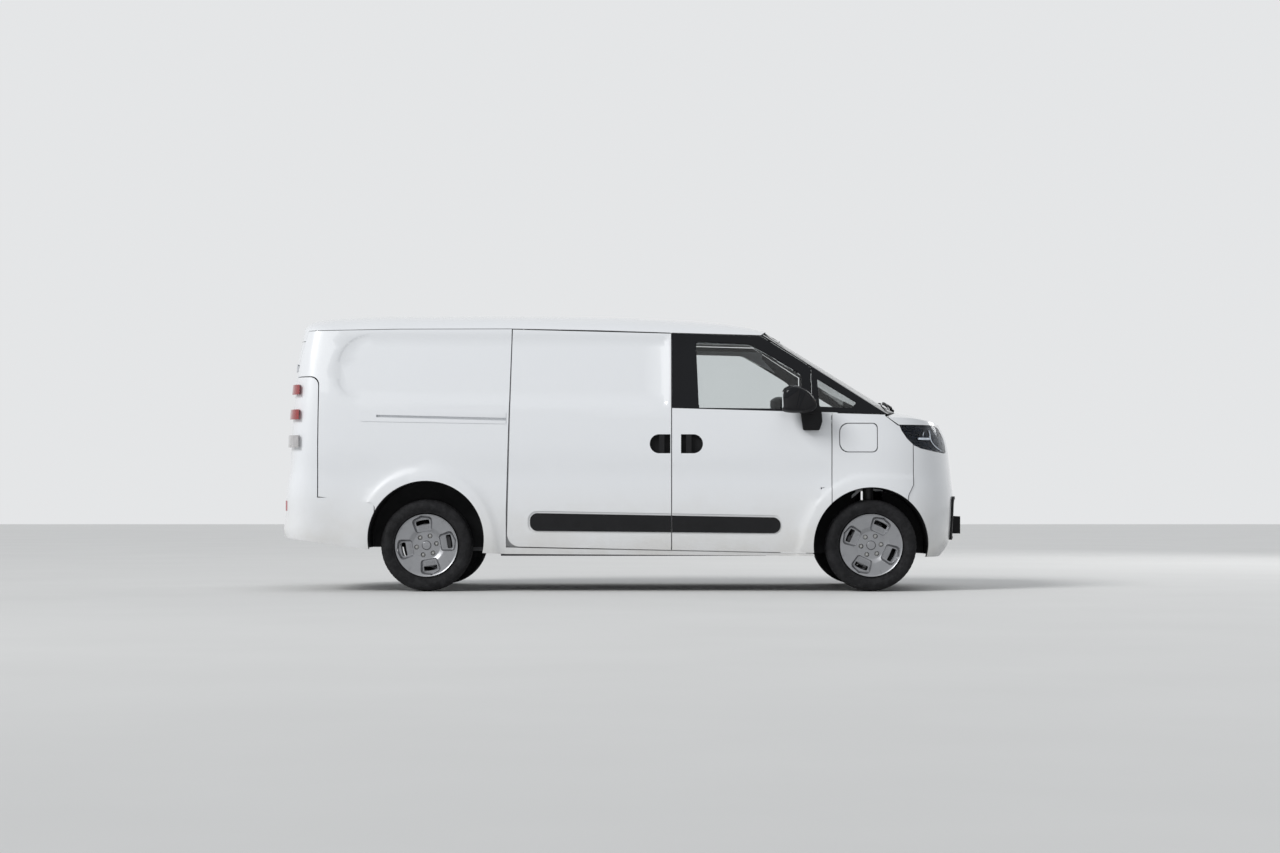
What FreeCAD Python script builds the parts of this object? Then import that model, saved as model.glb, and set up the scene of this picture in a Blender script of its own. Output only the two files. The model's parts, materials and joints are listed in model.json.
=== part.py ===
import FreeCAD, Part
import functools
import math
import os
import Sketcher

# A mid-size electric panel van, 4.8 m long: X runs to the nose, Y to its left side, Z up.
# The origin is on the ground under the middle of the van. All sizes are millimetres.

V = FreeCAD.Vector
doc = FreeCAD.newDocument("PanelVan")
sheet = doc.addObject("Spreadsheet::Sheet", "Sizes")

SIZES = {
    # whole vehicle
    "overall_length": 4830,
    "wheelbase": 3100,
    "front_overhang": 690,
    "body_width": 1874,
    "roof_height": 1958,
    # wheels and axles
    "tyre_diameter": 640,
    "tyre_width": 195,
    "rim_diameter": 436,
    "wheel_track": 1600,
    "spindle_diameter": 60,
    "running_clearance": 0.1,
    "kingpin_inset": 55,
    "steer_arm_height": 110,
    # openings and lines seen from the side, X measured from the front axle
    "arch_radius": 405,
    "rear_arch_rise": 45,
    "belt_height": 1276,
    "belt_fall": 0.036,
    "door_gap": 7,
    "door_rear": 1388,
    "door_front": 280,
    "door_bottom": 289,
    "frame_front": 422,
    "slider_rear": 2537,
    "sill_bottom": 247,
    "bumper_line": 290,
    "rear_door_bottom": 560,
    "rear_door_edge": 738,
    # walls
    "side_wall": 55,
    "roof_wall": 40,
    "bonnet_thickness": 30,
    "glass_thickness": 5,
    "glass_inset": 6,
    "seat_gap": 0.3,
    # floor
    "floor_height": 540,
    "floor_thickness": 40,
    "cab_floor_height": 420,
    "bulkhead_place": 1490,
    # hinges: how far the pin lies behind the shut line, and the swing of each door
    "hinge_back": 60,
    "pin_radius": 6,
    "pin_clearance": 0.3,
    "rear_hinge_back": 45,
    "bonnet_hinge_place": 120,
    "bonnet_hinge_height": 1225,
    # battery and motor, each one closed mass
    "battery_front": 720,
    "battery_length": 1880,
    "battery_width": 1119.4,
    "battery_low": 240,
    "battery_height": 155,
    "motor_front": 300,
    "motor_length": 410,
    "motor_width": 660,
    "motor_low": 300,
    "motor_height": 260,
    # seats
    "seat_place": 400,
    "seat_base_ahead": 160,
    "seat_base_length": 440,
    "seat_base_width": 460,
    "seat_height": 700,
}

for row, (name, value) in enumerate(SIZES.items(), 1):
    sheet.set(f"A{row}", name)
    sheet.set(f"B{row}", str(value))
    sheet.setAlias(f"B{row}", name)
doc.recompute()


def size(name):
    return float(sheet.get(name))


# The two axles, from which every place along the van is measured.
FRONT = size("overall_length") / 2 - size("front_overhang")
REAR = FRONT - size("wheelbase")
HALF = size("body_width") / 2
WHEEL_R = size("tyre_diameter") / 2
GAP = size("door_gap")
OUTSIDE = HALF + 260


def spline(points):
    """A smooth function through (position, value) points, as a look-up."""
    curve = Part.BSplineCurve()
    curve.interpolate([V(a, b, 0) for a, b in points])

    def value(at):
        low, high = curve.FirstParameter, curve.LastParameter
        if at <= points[0][0]:
            return points[0][1]
        if at >= points[-1][0]:
            return points[-1][1]
        for _ in range(40):
            middle = (low + high) / 2
            if curve.value(middle).x < at:
                low = middle
            else:
                high = middle
        return curve.value((low + high) / 2).y

    return value


# Lines of the body by height: how far the side stands in from its widest,
# how far the nose reaches ahead of the front axle, and the tail behind the rear axle.
side_in = spline([(150, 62), (247, 27), (340, 8), (480, 1), (640, 0), (800, 5), (950, 2), (1100, 11),
                  (1260, 28), (1400, 50), (1600, 88), (1830, 138), (1950, 168), (2100, 208)])
nose = spline([(150, 470), (235, 540), (321, 606), (450, 632), (560, 638), (657, 637), (767, 625),
               (877, 612), (977, 600), (1059, 583), (1122, 558), (1200, 512), (1300, 455), (1500, 385),
               (1800, 340), (2100, 320)])
tail_body = spline([(150, 985), (1017, 985), (1115, 982), (1371, 964), (1506, 956), (1709, 928),
                    (1857, 901), (2100, 845)])
tail_bumper = spline([(150, 930), (330, 1015), (385, 1036), (420, 1040), (502, 1030), (671, 1024),
                      (732, 1016), (793, 1004), (839, 992), (900, 986), (1017, 985), (1115, 982),
                      (1371, 964), (1506, 956), (1709, 928), (1857, 901), (2100, 845)])
NOSE_BLEND, NOSE_POWER = 100, 3.2
TAIL_BLEND, TAIL_LONG, TAIL_WIDE = 440, 7.0, 5.0
SWELL, SWELL_SPREAD = 13, 120


def half_width(z):
    return HALF - side_in(z)


def swell(x, z):
    """The soft outward swell of the side around each wheel arch."""
    out = 0
    for axle, rise in ((FRONT, 0), (REAR, size("rear_arch_rise"))):
        reach = math.hypot(x - axle, z - WHEEL_R - rise) - size("arch_radius")
        out += SWELL * math.exp(-((reach / SWELL_SPREAD) ** 2))
    return out


def skin(x, z, inset=0):
    """Half width of the body side at one place along the van and one height."""
    wide = half_width(z) - inset
    ahead = x - (FRONT - NOSE_BLEND)
    behind = (REAR - TAIL_BLEND) - x
    if ahead > 0:
        share = min(1, ahead / (nose(z) + NOSE_BLEND - inset))
        return wide * (1 - share**NOSE_POWER) ** (1 / NOSE_POWER) + swell(x, z)
    if behind > 0:
        share = min(1, behind / (tail_body(z) - TAIL_BLEND - inset))
        return wide * (1 - share**TAIL_LONG) ** (1 / TAIL_WIDE) + swell(x, z)
    return wide + swell(x, z)


def quarter(long, wide, power_long, power_wide, steps=300):
    """A rounded corner in plan, from its foremost point round to the side."""
    corner = []
    for i in range(steps + 1):
        turn = math.pi / 2 * i / steps
        corner.append((long * max(0, math.cos(turn)) ** (2 / power_long),
                       wide * math.sin(turn) ** (2 / power_wide)))
    corner[-1] = (0, wide)
    return corner


def even(points, count, bend):
    """Picks points evenly by length, with more of them where the line bends."""
    run = [0.0]
    for i in range(1, len(points)):
        step = math.dist(points[i], points[i - 1])
        turn = 0
        if i < len(points) - 1:
            a = math.atan2(points[i][1] - points[i - 1][1], points[i][0] - points[i - 1][0])
            b = math.atan2(points[i + 1][1] - points[i][1], points[i + 1][0] - points[i][0])
            turn = abs(b - a)
        run.append(run[-1] + step + bend * turn)
    picked, at = [], 0
    for k in range(count + 1):
        target = run[-1] * k / count
        while at < len(run) - 2 and run[at + 1] < target:
            at += 1
        share = (target - run[at]) / max(1e-9, run[at + 1] - run[at])
        a, b = points[at], points[at + 1]
        picked.append((a[0] + (b[0] - a[0]) * share, a[1] + (b[1] - a[1]) * share))
    return picked


def waterline(z, inset, tail, fine):
    """The closed plan outline of the body at one height, from the middle of the tail round."""
    wide = half_width(z) - inset
    start = FRONT - NOSE_BLEND
    rear_end = REAR - tail(z) + inset
    rear_start = REAR - TAIL_BLEND
    front = even(quarter(FRONT + nose(z) - inset - start, wide, NOSE_POWER, NOSE_POWER), 14 if fine else 9, 250)
    rear = even(quarter(rear_start - rear_end, wide, TAIL_LONG, TAIL_WIDE), 12 if fine else 9, 250)
    half = [(start + x, y) for x, y in front]
    if fine:
        half += [(FRONT + x, wide) for x in STATIONS]
    else:
        half += [(start + (rear_start - start) * i / COARSE_STEPS, wide) for i in range(1, COARSE_STEPS)]
    half += [(rear_start - x, y) for x, y in reversed(rear)]
    if fine:
        half = [(x, y + swell(x, z) * min(1, y / wide)) if y > wide * 0.5 else (x, y) for x, y in half]
    loop = [V(x, -y, z) for x, y in reversed(half)] + [V(x, y, z) for x, y in half[1:]]
    loop[0] = loop[-1] = V(rear_end, 0, z)
    return loop


# Where the outer skin is measured: closely round the wheels, widely along the plain side and up the body.
WHEEL_BASE = size("wheelbase")
STATIONS = [-130 - 52 * i for i in range(10)] + [-760, -1000, -1300, -1600, -1900, -2200, -2420]
STATIONS += [-WHEEL_BASE + 560 - 54 * i for i in range(18)]
COARSE_STEPS = 5
LEVELS = [150, 220, 290, 350, 410, 470, 530, 590, 650, 710, 770, 830, 890, 960, 1040, 1120, 1200, 1290, 1400,
          1540, 1700, 1850, 2020]
COARSE_LEVELS = [150, 240, 330, 430, 550, 700, 850, 1000, 1130, 1260, 1400, 1550, 1700, 1850, 2020]
FINE_INSET = 12


@functools.cache
def walls(inset=0, tail=tail_body, plain=False):
    """The upright walls of the body as one solid, set in from the outer skin; plain ones have no swells."""
    fine = inset <= FINE_INSET and not plain
    loops = [waterline(z, inset, tail, fine) for z in (LEVELS if fine else COARSE_LEVELS)]
    run = [0.0]
    middle = loops[len(loops) // 3]
    for a, b in zip(middle, middle[1:]):
        run.append(run[-1] + a.distanceToPoint(b))
    parameters = [r / run[-1] for r in run]
    wires = []
    for loop in loops:
        curve = Part.BSplineCurve()
        curve.interpolate(Points=loop, Parameters=parameters)
        wires.append(Part.Wire([curve.toShape()]))
    return Part.makeLoft(wires, True, False, False)


# The roof's crown and the gutter under its edge, along the van from the front axle.
crown = spline([(-4150, 1800), (-3994, 1872), (-3954, 1910), (-3891, 1926), (-3704, 1944), (-3300, 1955),
                (-2800, 1958), (-2300, 1956), (-1758, 1947), (-1186, 1916), (-900, 1882), (-743, 1845),
                (-600, 1800), (-300, 1690), (200, 1490)])
gutter = spline([(-4150, 1818), (-3956, 1822), (-3300, 1834), (-2525, 1836), (-1897, 1824), (-1394, 1807),
                 (-766, 1790), (200, 1770)])
GUTTER_SHARE = 0.985
ROOF_STATIONS = [-4150, -4050, -3994, -3954, -3900, -3800, -3600, -3200, -2700, -2200, -1700, -1200, -950,
                 -800, -650, -400, 0, 200]


@functools.cache
def roof_block(inset=0):
    """Everything under the roof: a crowned section that rolls over into the gutter on each side."""
    lift = size("roof_height") - 1958
    wires = []
    for x in ROOF_STATIONS:
        edge = gutter(x) + lift
        top = max(crown(x) + lift, edge + 14)
        wide = (skin(max(FRONT + x, REAR - 880), edge) - inset * 0.8) / GUTTER_SHARE
        rise = (top - edge) / (1 - math.sqrt(1 - GUTTER_SHARE**3))
        across = [-GUTTER_SHARE, -0.95, -0.88, -0.77, -0.62, -0.42, -0.2, 0]
        across += [-u for u in reversed(across[:-1])]
        points = [V(FRONT + x, wide * u, top - rise + rise * math.sqrt(1 - abs(u) ** 3) - inset) for u in across]
        spread = V(0, 700, -1500)
        low_right = points[0] + V(0, -700, -1500)
        low_left = points[-1] + spread
        curve = Part.BSplineCurve()
        curve.interpolate(Points=points, Parameters=[math.asin(u) for u in across])
        wires.append(Part.Wire([curve.toShape(), Part.makeLine(points[-1], low_left),
                                Part.makeLine(low_left, low_right), Part.makeLine(low_right, points[0])]))
    return Part.makeLoft(wires, True, False, False)


SCREEN_SLOPE = math.radians(31.8)
SCREEN_BOW = 4900
SCREEN_FOOT = (202, 1276)


@functools.cache
def screen_block(inset=0):
    """Everything behind and below the windscreen: a wide arc pushed along the slope of the glass."""
    up = V(-math.cos(SCREEN_SLOPE), 0, math.sin(SCREEN_SLOPE))
    out = V(math.sin(SCREEN_SLOPE), 0, math.cos(SCREEN_SLOPE))
    foot = V(FRONT + SCREEN_FOOT[0], 0, SCREEN_FOOT[1]) - out * inset - up * 900
    half, depth = 1150, 2600
    sag = SCREEN_BOW - math.sqrt(SCREEN_BOW**2 - half**2)
    side = V(0, half, 0)
    arc = Part.Arc(foot - side - out * sag, foot, foot + side - out * sag).toShape()
    left = foot + side - out * depth
    right = foot - side - out * depth
    face = Part.Face(Part.Wire([arc, Part.makeLine(foot + side - out * sag, left),
                                Part.makeLine(left, right), Part.makeLine(right, foot - side - out * sag)]))
    return face.extrude(up * 5200)


bonnet_top = spline([(-300, 1262), (0, 1270), (200, 1268), (300, 1255), (400, 1226), (480, 1196), (560, 1158),
                     (640, 1110), (760, 1030)])
BONNET_STATIONS = [-300, 0, 150, 250, 350, 450, 550, 650, 760]


@functools.cache
def bonnet_block(inset=0):
    """Everything under the bonnet: crowned across and falling to the nose."""
    wires = []
    for x in BONNET_STATIONS:
        top = bonnet_top(x) - inset
        points = [V(FRONT + x, y, top - 52 * (abs(y) / 850) ** 2.5) for y in range(-1200, 1201, 150)]
        curve = Part.BSplineCurve()
        curve.interpolate(points)
        low = [V(FRONT + x, 1200, 60), V(FRONT + x, -1200, 60)]
        wires.append(Part.Wire([curve.toShape(), Part.makeLine(points[-1], low[0]),
                                Part.makeLine(low[0], low[1]), Part.makeLine(low[1], points[0])]))
    return Part.makeLoft(wires, True, False, False)


def wire(points):
    """A closed outline seen from the side, (x, z) or (x, z, corner radius), x from the front axle."""
    count = len(points)
    edges = []
    starts, ends = [], []
    for i, point in enumerate(points):
        here = V(FRONT + point[0], 0, point[1])
        radius = point[2] if len(point) > 2 else 0
        if radius == 0:
            starts.append(here)
            ends.append(here)
            edges.append(None)
            continue
        last, following = points[i - 1], points[(i + 1) % count]
        back = (V(FRONT + last[0], 0, last[1]) - here).normalize()
        on = (V(FRONT + following[0], 0, following[1]) - here).normalize()
        half = back.getAngle(on) / 2
        reach = radius / math.tan(half)
        first, second = here + back * reach, here + on * reach
        centre = here + (back + on).normalize() * (radius / math.sin(half))
        middle = centre + (here - centre).normalize() * radius
        starts.append(first)
        ends.append(second)
        edges.append(Part.Arc(first, middle, second).toShape())
    outline = []
    for i in range(count):
        if edges[i] is not None:
            outline.append(edges[i])
        following = starts[(i + 1) % count]
        if ends[i].distanceToPoint(following) > 0.01:
            outline.append(Part.makeLine(ends[i], following))
    return Part.Wire(outline)


def prism(points, low_y=None, high_y=None):
    """An outline pushed straight across the van; by default over its whole right side."""
    low_y = -OUTSIDE if low_y is None else low_y
    high_y = -560 if high_y is None else high_y
    face = Part.Face(wire(points))
    face.translate(V(0, low_y, 0))
    return face.extrude(V(0, high_y - low_y, 0))


def across(points):
    return prism(points, -OUTSIDE, OUTSIDE)


def box(x0, x1, y0, y1, z0, z1):
    """A block between two x from the front axle, two y and two z."""
    return Part.makeBox(x1 - x0, y1 - y0, z1 - z0, V(FRONT + x0, y0, z0))


def mirrored(shape):
    return shape.mirror(V(0, 0, 0), V(0, 1, 0))


def rod(start, end, radius):
    along = V(*end) - V(*start)
    return Part.makeCylinder(radius, along.Length, V(*start), along)


def both(shape):
    return Part.makeCompound([shape, mirrored(shape)])


parts = []


def piece(label, shape):
    item = doc.addObject("Part::Feature", label)
    item.Label = label
    item.Shape = shape
    parts.append(item)
    return item


# Lines seen from the side that several pieces share, x from the front axle.
WALL = size("side_wall")
BASE = -size("wheelbase")
ARCH_R = size("arch_radius")
ARCH_TOP = WHEEL_R + size("rear_arch_rise")
DOOR_REAR = -size("door_rear")
DOOR_FRONT = -size("door_front")
FRAME_FRONT = -size("frame_front")
SLIDER_FRONT = DOOR_REAR - GAP
SLIDER_REAR = -size("slider_rear")
BUMPER_LINE = size("bumper_line")
TAIL = BASE - tail_body(600)
COWL_EDGE = 235
COWL_GAP = 27
RAIL_TOP = 1745


def belt(x):
    """The waist line, which falls gently towards the nose."""
    return size("belt_height") - size("belt_fall") * 0.788 * (x - DOOR_REAR)


def door_sill(x):
    """The line along the foot of the doors, a little lower at the front."""
    return size("door_bottom") - 0.021 * (x - DOOR_REAR)


def arches(radius_more=0):
    """The round wheel openings in both sides."""
    cutters = []
    for x, z in ((0, WHEEL_R), (BASE, ARCH_TOP)):
        for side in (-1, 1):
            start = V(FRONT + x, side * 500, z)
            cutters.append(Part.makeCylinder(ARCH_R + radius_more, OUTSIDE, start, V(0, side, 0)))
    return Part.makeCompound(cutters)



SKIN = walls()
LINING = walls(WALL)
ROOF = roof_block()
SCREEN = screen_block()
BONNET = bonnet_block()
ARCHES = arches()


FLARE_WIDE, FLARE_PROUD, FLARE_SLOPE = 85, 6, 1.5
FLARE_DEEP = 90


def flares():
    """A band round each wheel arch on the right side, proud of the skin and sloping back to it."""
    proud = walls(-FLARE_PROUD)
    level = -(HALF + FLARE_PROUD)
    bands = []
    for x, z, ahead in ((0, WHEEL_R, BUMPER_LINE), (BASE, ARCH_TOP, 900)):
        low = ARCH_R + FLARE_WIDE + FLARE_SLOPE * (FLARE_DEEP - 30)
        cone = Part.makeCone(low, low - FLARE_SLOPE * FLARE_DEEP, FLARE_DEEP,
                             V(FRONT + x, level + FLARE_DEEP - 30, z), V(0, -1, 0))
        bands.append(cone.common(box(x - 900, x + ahead, -OUTSIDE, 0, 160, 1100)).common(proud))
    return bands


FLARED = SKIN.fuse(flares())


def side_panel(zone):
    """A piece of the side wall, of its full thickness."""
    return zone.common(FLARED).cut(LINING)


ROOF_SEAM, SEAM_DEPTH = -2520, 2.5


def roof_panel():
    """The crowned roof skin, with the seam across it where its two sheets meet."""
    zone = [(x, gutter(x)) for x in (-4300, -3956, -3300, -2525, -1897, -1394, -766)]
    zone += [(-722, 1822), (-716, 2200), (-4300, 2200)]
    seam = box(ROOF_SEAM - 2, ROOF_SEAM + 2, -OUTSIDE, OUTSIDE, 1700, 2100).cut(roof_block(SEAM_DEPTH))
    return across(zone).common(ROOF).cut(roof_block(size("roof_wall"))).common(SKIN).cut(seam)


ROOF_HOLES = (-3200, -2300)
ROOF_HOLE_Y = 600
ROOF_HOLE_RADIUS = 4.25


def roof_fixings():
    """Four holes that take the feet of roof bars."""
    return [rod((FRONT + x, y, 1850), (FRONT + x, y, 2100), ROOF_HOLE_RADIUS)
            for x in ROOF_HOLES for y in (-ROOF_HOLE_Y, ROOF_HOLE_Y)]


def rear_header():
    """The strip of the tail between the doors and the roof."""
    edge = size("rear_door_edge")
    zone = prism([(-4300, RAIL_TOP + GAP), (-3900, RAIL_TOP + GAP), (-3900, gutter(-3900)),
                  (-3956, gutter(-3956)), (-4300, gutter(-4300))], -edge, edge)
    return zone.common(SKIN).cut(LINING)


def door_zone():
    return [(DOOR_REAR, door_sill(DOOR_REAR)), (DOOR_REAR, belt(DOOR_REAR)), (DOOR_FRONT, belt(DOOR_FRONT)),
            (DOOR_FRONT, door_sill(DOOR_FRONT))]


def front_door():
    return side_panel(prism(door_zone())).cut(ARCHES)


WINDOW = [(-1222, 1748, 20), (-849, 1727, 60), (-724, 1658, 60), (-485, 1515, 30), (-478, 1268, 12),
          (-1201, 1276, 12)]
QUARTER = [(-379, 1484, 8), (-362, 1284, 20), (-138, 1276, 20), (-96, 1312, 18)]


def door_frame():
    zone = [(DOOR_REAR, belt(DOOR_REAR)), (DOOR_REAR, gutter(-1394) - GAP), (-770, gutter(-766) - GAP),
            (FRAME_FRONT, 1560), (FRAME_FRONT, belt(FRAME_FRONT))]
    return side_panel(prism(zone)).cut(prism(WINDOW))


# The long pressed panel in the upper side, which runs across the sliding door and the rear quarter.
RECESS = [(-3724, 1806, 230), (DOOR_REAR - 28, 1782, 40), (DOOR_REAR - 28, 1285, 40), (-3724, 1335, 170)]
RECESS_DEPTH, RECESS_EDGE = 12, 26


def recess():
    """What the press pushes in: a sloping edge round a floor that follows the skin."""
    low, high = 1300, 1790
    lean = math.atan2(half_width(low) - half_width(high), high - low)
    flat = Part.Face(wire([(x, low + (z - low) / math.cos(lean), r) for x, z, r in RECESS]))
    rings = []
    for away in (30, -RECESS_DEPTH - 2):
        ring = Part.Wire(flat.makeOffset2D(RECESS_EDGE * away / RECESS_DEPTH).Wires[0].Edges)
        ring.translate(V(0, -half_width(low) - away, 0))
        ring.rotate(V(0, -half_width(low), low), V(1, 0, 0), -math.degrees(lean))
        rings.append(ring)
    return Part.makeLoft(rings, True, True).cut(walls(RECESS_DEPTH))


PRESSING = recess()


def sliding_door():
    top = SLIDER_REAR + 35
    zone = [(SLIDER_REAR, door_sill(SLIDER_REAR), 90), (top, gutter(-2525) - GAP),
            (SLIDER_FRONT, gutter(-1394) - GAP), (SLIDER_FRONT, door_sill(SLIDER_FRONT))]
    return side_panel(prism(zone)).cut(PRESSING)


ROOF_GAP = 4
LIP_HEIGHT = 28
RAIL_PROUD, RAIL_GROOVE_DEPTH = 4, 16
RAIL_COVER = [(-3571, 1266, 38), (SLIDER_REAR - GAP, 1242), (SLIDER_REAR - GAP, 1166), (-3571, 1184, 38)]
RAIL_GROOVE = [(-3446, 1229), (SLIDER_REAR - GAP - 1, 1207), (SLIDER_REAR - GAP - 1, 1188), (-3446, 1212)]


def body_side():
    """The rear quarter with its wheel arch and slide rail, the sill and the strip under the gutter."""
    top = SLIDER_REAR + 35 - GAP
    rear = TAIL + 236
    eaves = [(-4300, gutter(-4300)), (-3956, gutter(-3956)), (-3300, gutter(-3300)), (top, gutter(-2525))]
    quarter_zone = [(rear, 660), (rear, 1500, 60), (-4300, 1500)] + [(x, z - ROOF_GAP) for x, z in eaves]
    quarter_zone += [(SLIDER_REAR - GAP, 560), (SLIDER_REAR - GAP, size("sill_bottom") + 14), (BASE - 353, 300),
                     (BASE - 353, 615, 40)]
    panel = side_panel(prism(quarter_zone, -OUTSIDE, -size("rear_door_edge") - GAP / 2))
    sill_zone = [(SLIDER_REAR - GAP - 1, size("sill_bottom") + 14), (-390, size("sill_bottom")),
                 (-390, door_sill(-390) - GAP), (SLIDER_REAR - GAP - 1, door_sill(SLIDER_REAR) - GAP)]
    lip_line = [(-3890, gutter(-3890))] + eaves[2:]
    lip_zone = [(x, z - 20) for x, z in lip_line] + [(x, z + LIP_HEIGHT) for x, z in reversed(lip_line)]
    lip = prism(lip_zone).common(walls(20)).cut(LINING).common(roof_block(size("roof_wall") + size("seat_gap")))
    rail = prism(RAIL_COVER).common(walls(-RAIL_PROUD)).cut(walls(10))
    groove = prism(RAIL_GROOVE).cut(walls(RAIL_GROOVE_DEPTH))
    panel = panel.fuse(side_panel(prism(sill_zone))).cut(ARCHES).cut(PRESSING)
    return panel.fuse([lip, rail]).cut(groove)


# The two handles either side of the shut line between the sliding door and the front door.
HANDLE_LOW, HANDLE_HIGH, HANDLE_ROUND = 961, 1093, 65
HANDLE_DEPTH, HANDLE_WALL = 40, 4
SLIDER_GRIP, DOOR_GRIP = -1460, -1272
SLIDER_HANDLE = [(-1543, HANDLE_LOW, HANDLE_ROUND), (-1543, HANDLE_HIGH, HANDLE_ROUND),
                 (SLIDER_FRONT - 5, HANDLE_HIGH), (SLIDER_FRONT - 5, HANDLE_LOW)]
DOOR_HANDLE = [(DOOR_REAR + 62, HANDLE_LOW), (DOOR_REAR + 62, HANDLE_HIGH), (-1174, HANDLE_HIGH, HANDLE_ROUND),
               (-1174, HANDLE_LOW, HANDLE_ROUND)]


def grown(points, more):
    """A side outline with its edge moved out, pushed across the right side."""
    face = Part.Face(Part.Face(wire(points)).makeOffset2D(more).Wires[0])
    face.translate(V(0, -OUTSIDE, 0))
    return face.extrude(V(0, OUTSIDE - 560, 0))


def handle(points, grip):
    """A recessed cup with an upright grip across it."""
    cup = prism(points).common(walls(1.5, tail_body, True)).cut(walls(HANDLE_DEPTH))
    cup = cup.cut(grown(points, -HANDLE_WALL).cut(walls(HANDLE_DEPTH - HANDLE_WALL)))
    bar = box(grip - 19, grip + 19, -OUTSIDE, -560, HANDLE_LOW - 20, HANDLE_HIGH + 20)
    bar = bar.common(prism(points)).common(walls(0, tail_body, True)).cut(walls(14))
    return cup.fuse(bar)


def handle_pocket(points):
    """The room for a handle's cup in its door."""
    seat = size("seat_gap")
    return grown(points, seat).cut(walls(HANDLE_DEPTH + seat))


def screen_band(inset, thickness, zone):
    """A layer of the windscreen plane, seen within a side outline."""
    layer = across(zone).common(screen_block(inset)).cut(screen_block(inset + thickness))
    return layer


# Anything smaller than this is a sliver left between two curved cuts, and no part of the van.
CRUMB = 2e5


def windscreen():
    """The glass, let into the frame by its own thickness and a thin bed."""
    zone = [(-690, 1800), (-690, 2100), (400, 2100), (400, 1300), (0, 1300), (-500, 1600)]
    layer = screen_band(2, size("glass_thickness"), zone)
    return layer.common(walls(70)).common(roof_block(30))


def cab_frame():
    """Header, windscreen pillars and cowl in one black frame."""
    front = FRAME_FRONT + GAP
    side_zone = [(-764, gutter(-766) - GAP), (-722, 1822), (300, 1822), (300, belt(300) + 3),
                 (front, belt(front) + 3), (front, 1564)]
    side = side_panel(prism(side_zone)).common(SCREEN)
    side = side.cut(prism(QUARTER)).cut(box(COWL_EDGE - 60, 400, -OUTSIDE, OUTSIDE, 1000, 1900))
    depth = size("roof_wall")
    band = screen_band(0, depth, [(-722, 1822), (-716, 2100), (400, 2100), (400, 1268), (0, 1268), (-700, 1780)])
    band = band.common(SKIN).common(ROOF)
    bed = size("glass_thickness") + 2 + size("seat_gap")
    seat = screen_band(-5, bed + 5, [(-692, 1800), (-692, 2100), (400, 2100), (400, 1298), (0, 1298), (-500, 1600)])
    seat = seat.common(walls(68)).common(roof_block(28))
    opening = screen_band(-10, depth + 40, [(-668, 1780), (-660, 2100), (400, 2100), (400, 1326), (0, 1326),
                                            (-600, 1640)])
    opening = opening.common(walls(105)).common(roof_block(52))
    band = band.cut(seat).cut(opening)
    cowl = box(40, COWL_EDGE, -OUTSIDE, OUTSIDE, belt(40) + 3, 1400).common(SKIN).common(BONNET.fuse(SCREEN))
    cowl = cowl.common(cowl_round(0)).common(SCREEN).cut(bonnet_block(36)).cut(seat).cut(opening)
    frame = band.fuse([side, mirrored(side), cowl])
    return Part.makeCompound([solid for solid in frame.Solids if solid.Volume > CRUMB])


def cowl_round(more):
    """The bowed line in plan where the cowl ends and the bonnet begins."""
    bow = 2468
    return Part.makeCylinder(bow + more, 1200, V(FRONT + COWL_EDGE - bow, 0, 900))


def bonnet():
    zone = [(102, 1400), (102, 1222), (190, 1161), (900, 1161), (900, 1400)]
    thickness = size("bonnet_thickness")
    lid = across(zone).common(SKIN).common(BONNET)
    lid = lid.cut(walls(thickness).common(bonnet_block(thickness))).cut(cowl_round(COWL_GAP))
    return lid


HEADLAMP = [(197, 1161), (436, 1161, 20), (488, 1141, 20), (537, 1052, 30), (547, 966, 10), (437, 981), (350, 999),
            (300, 1020, 30), (252, 1065, 30), (214, 1120, 20)]


def headlamp_zone(more=0):
    face = Part.Face(wire(HEADLAMP))
    if more:
        face = Part.Face(face.makeOffset2D(more).Wires[0])
    face.translate(V(0, -OUTSIDE, 0))
    return face.extrude(V(0, OUTSIDE - 560, 0))


def headlamp():
    zone = headlamp_zone()
    return zone.common(walls(1)).cut(walls(60)).common(bonnet_block(1))


def fender():
    top = belt(95) - 4
    line = BUMPER_LINE
    zone = [(DOOR_FRONT + GAP, belt(DOOR_FRONT) - 4), (95, top), (95, 1222), (185, 1154), (line, 1154), (line, 740),
            (252, 664, 60), (252, 600), (DOOR_FRONT + GAP - 2, 600)]
    panel = side_panel(prism(zone)).cut(headlamp_zone(4)).cut(ARCHES)
    return panel


def front_bumper():
    line = BUMPER_LINE + 5
    zone = [(line, 1154), (line, 740), (257, 664, 60), (257, 600), (300, size("sill_bottom") - 10),
            (800, size("sill_bottom") - 10), (800, 1154)]
    shell = across(zone).common(SKIN).common(BONNET)
    shell = shell.cut(walls(45)).cut(headlamp_zone(4)).cut(mirrored(headlamp_zone(4))).cut(ARCHES)
    return shell.cut(grille_zone(0))


def grille_zone(more):
    """The wide lower opening with rounded ends, seen from the front."""
    half, low, high = 560 + more, 352 - more, 662 + more
    radius = 70
    block = Part.makeBox(700, 2 * half, high - low, V(FRONT + 300, -half, low))
    upright = [e for e in block.Edges if abs(e.tangentAt(e.FirstParameter).x) > 0.9]
    return block.makeFillet(radius, upright)


GRILLE_BACK, GRILLE_PROUD, GRILLE_DEEP = 9, 14, 45
GRILLE_FRAME = 22
BAR_PITCH, BAR_HIGH, BAR_LOW = 44, 16, 386


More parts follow.
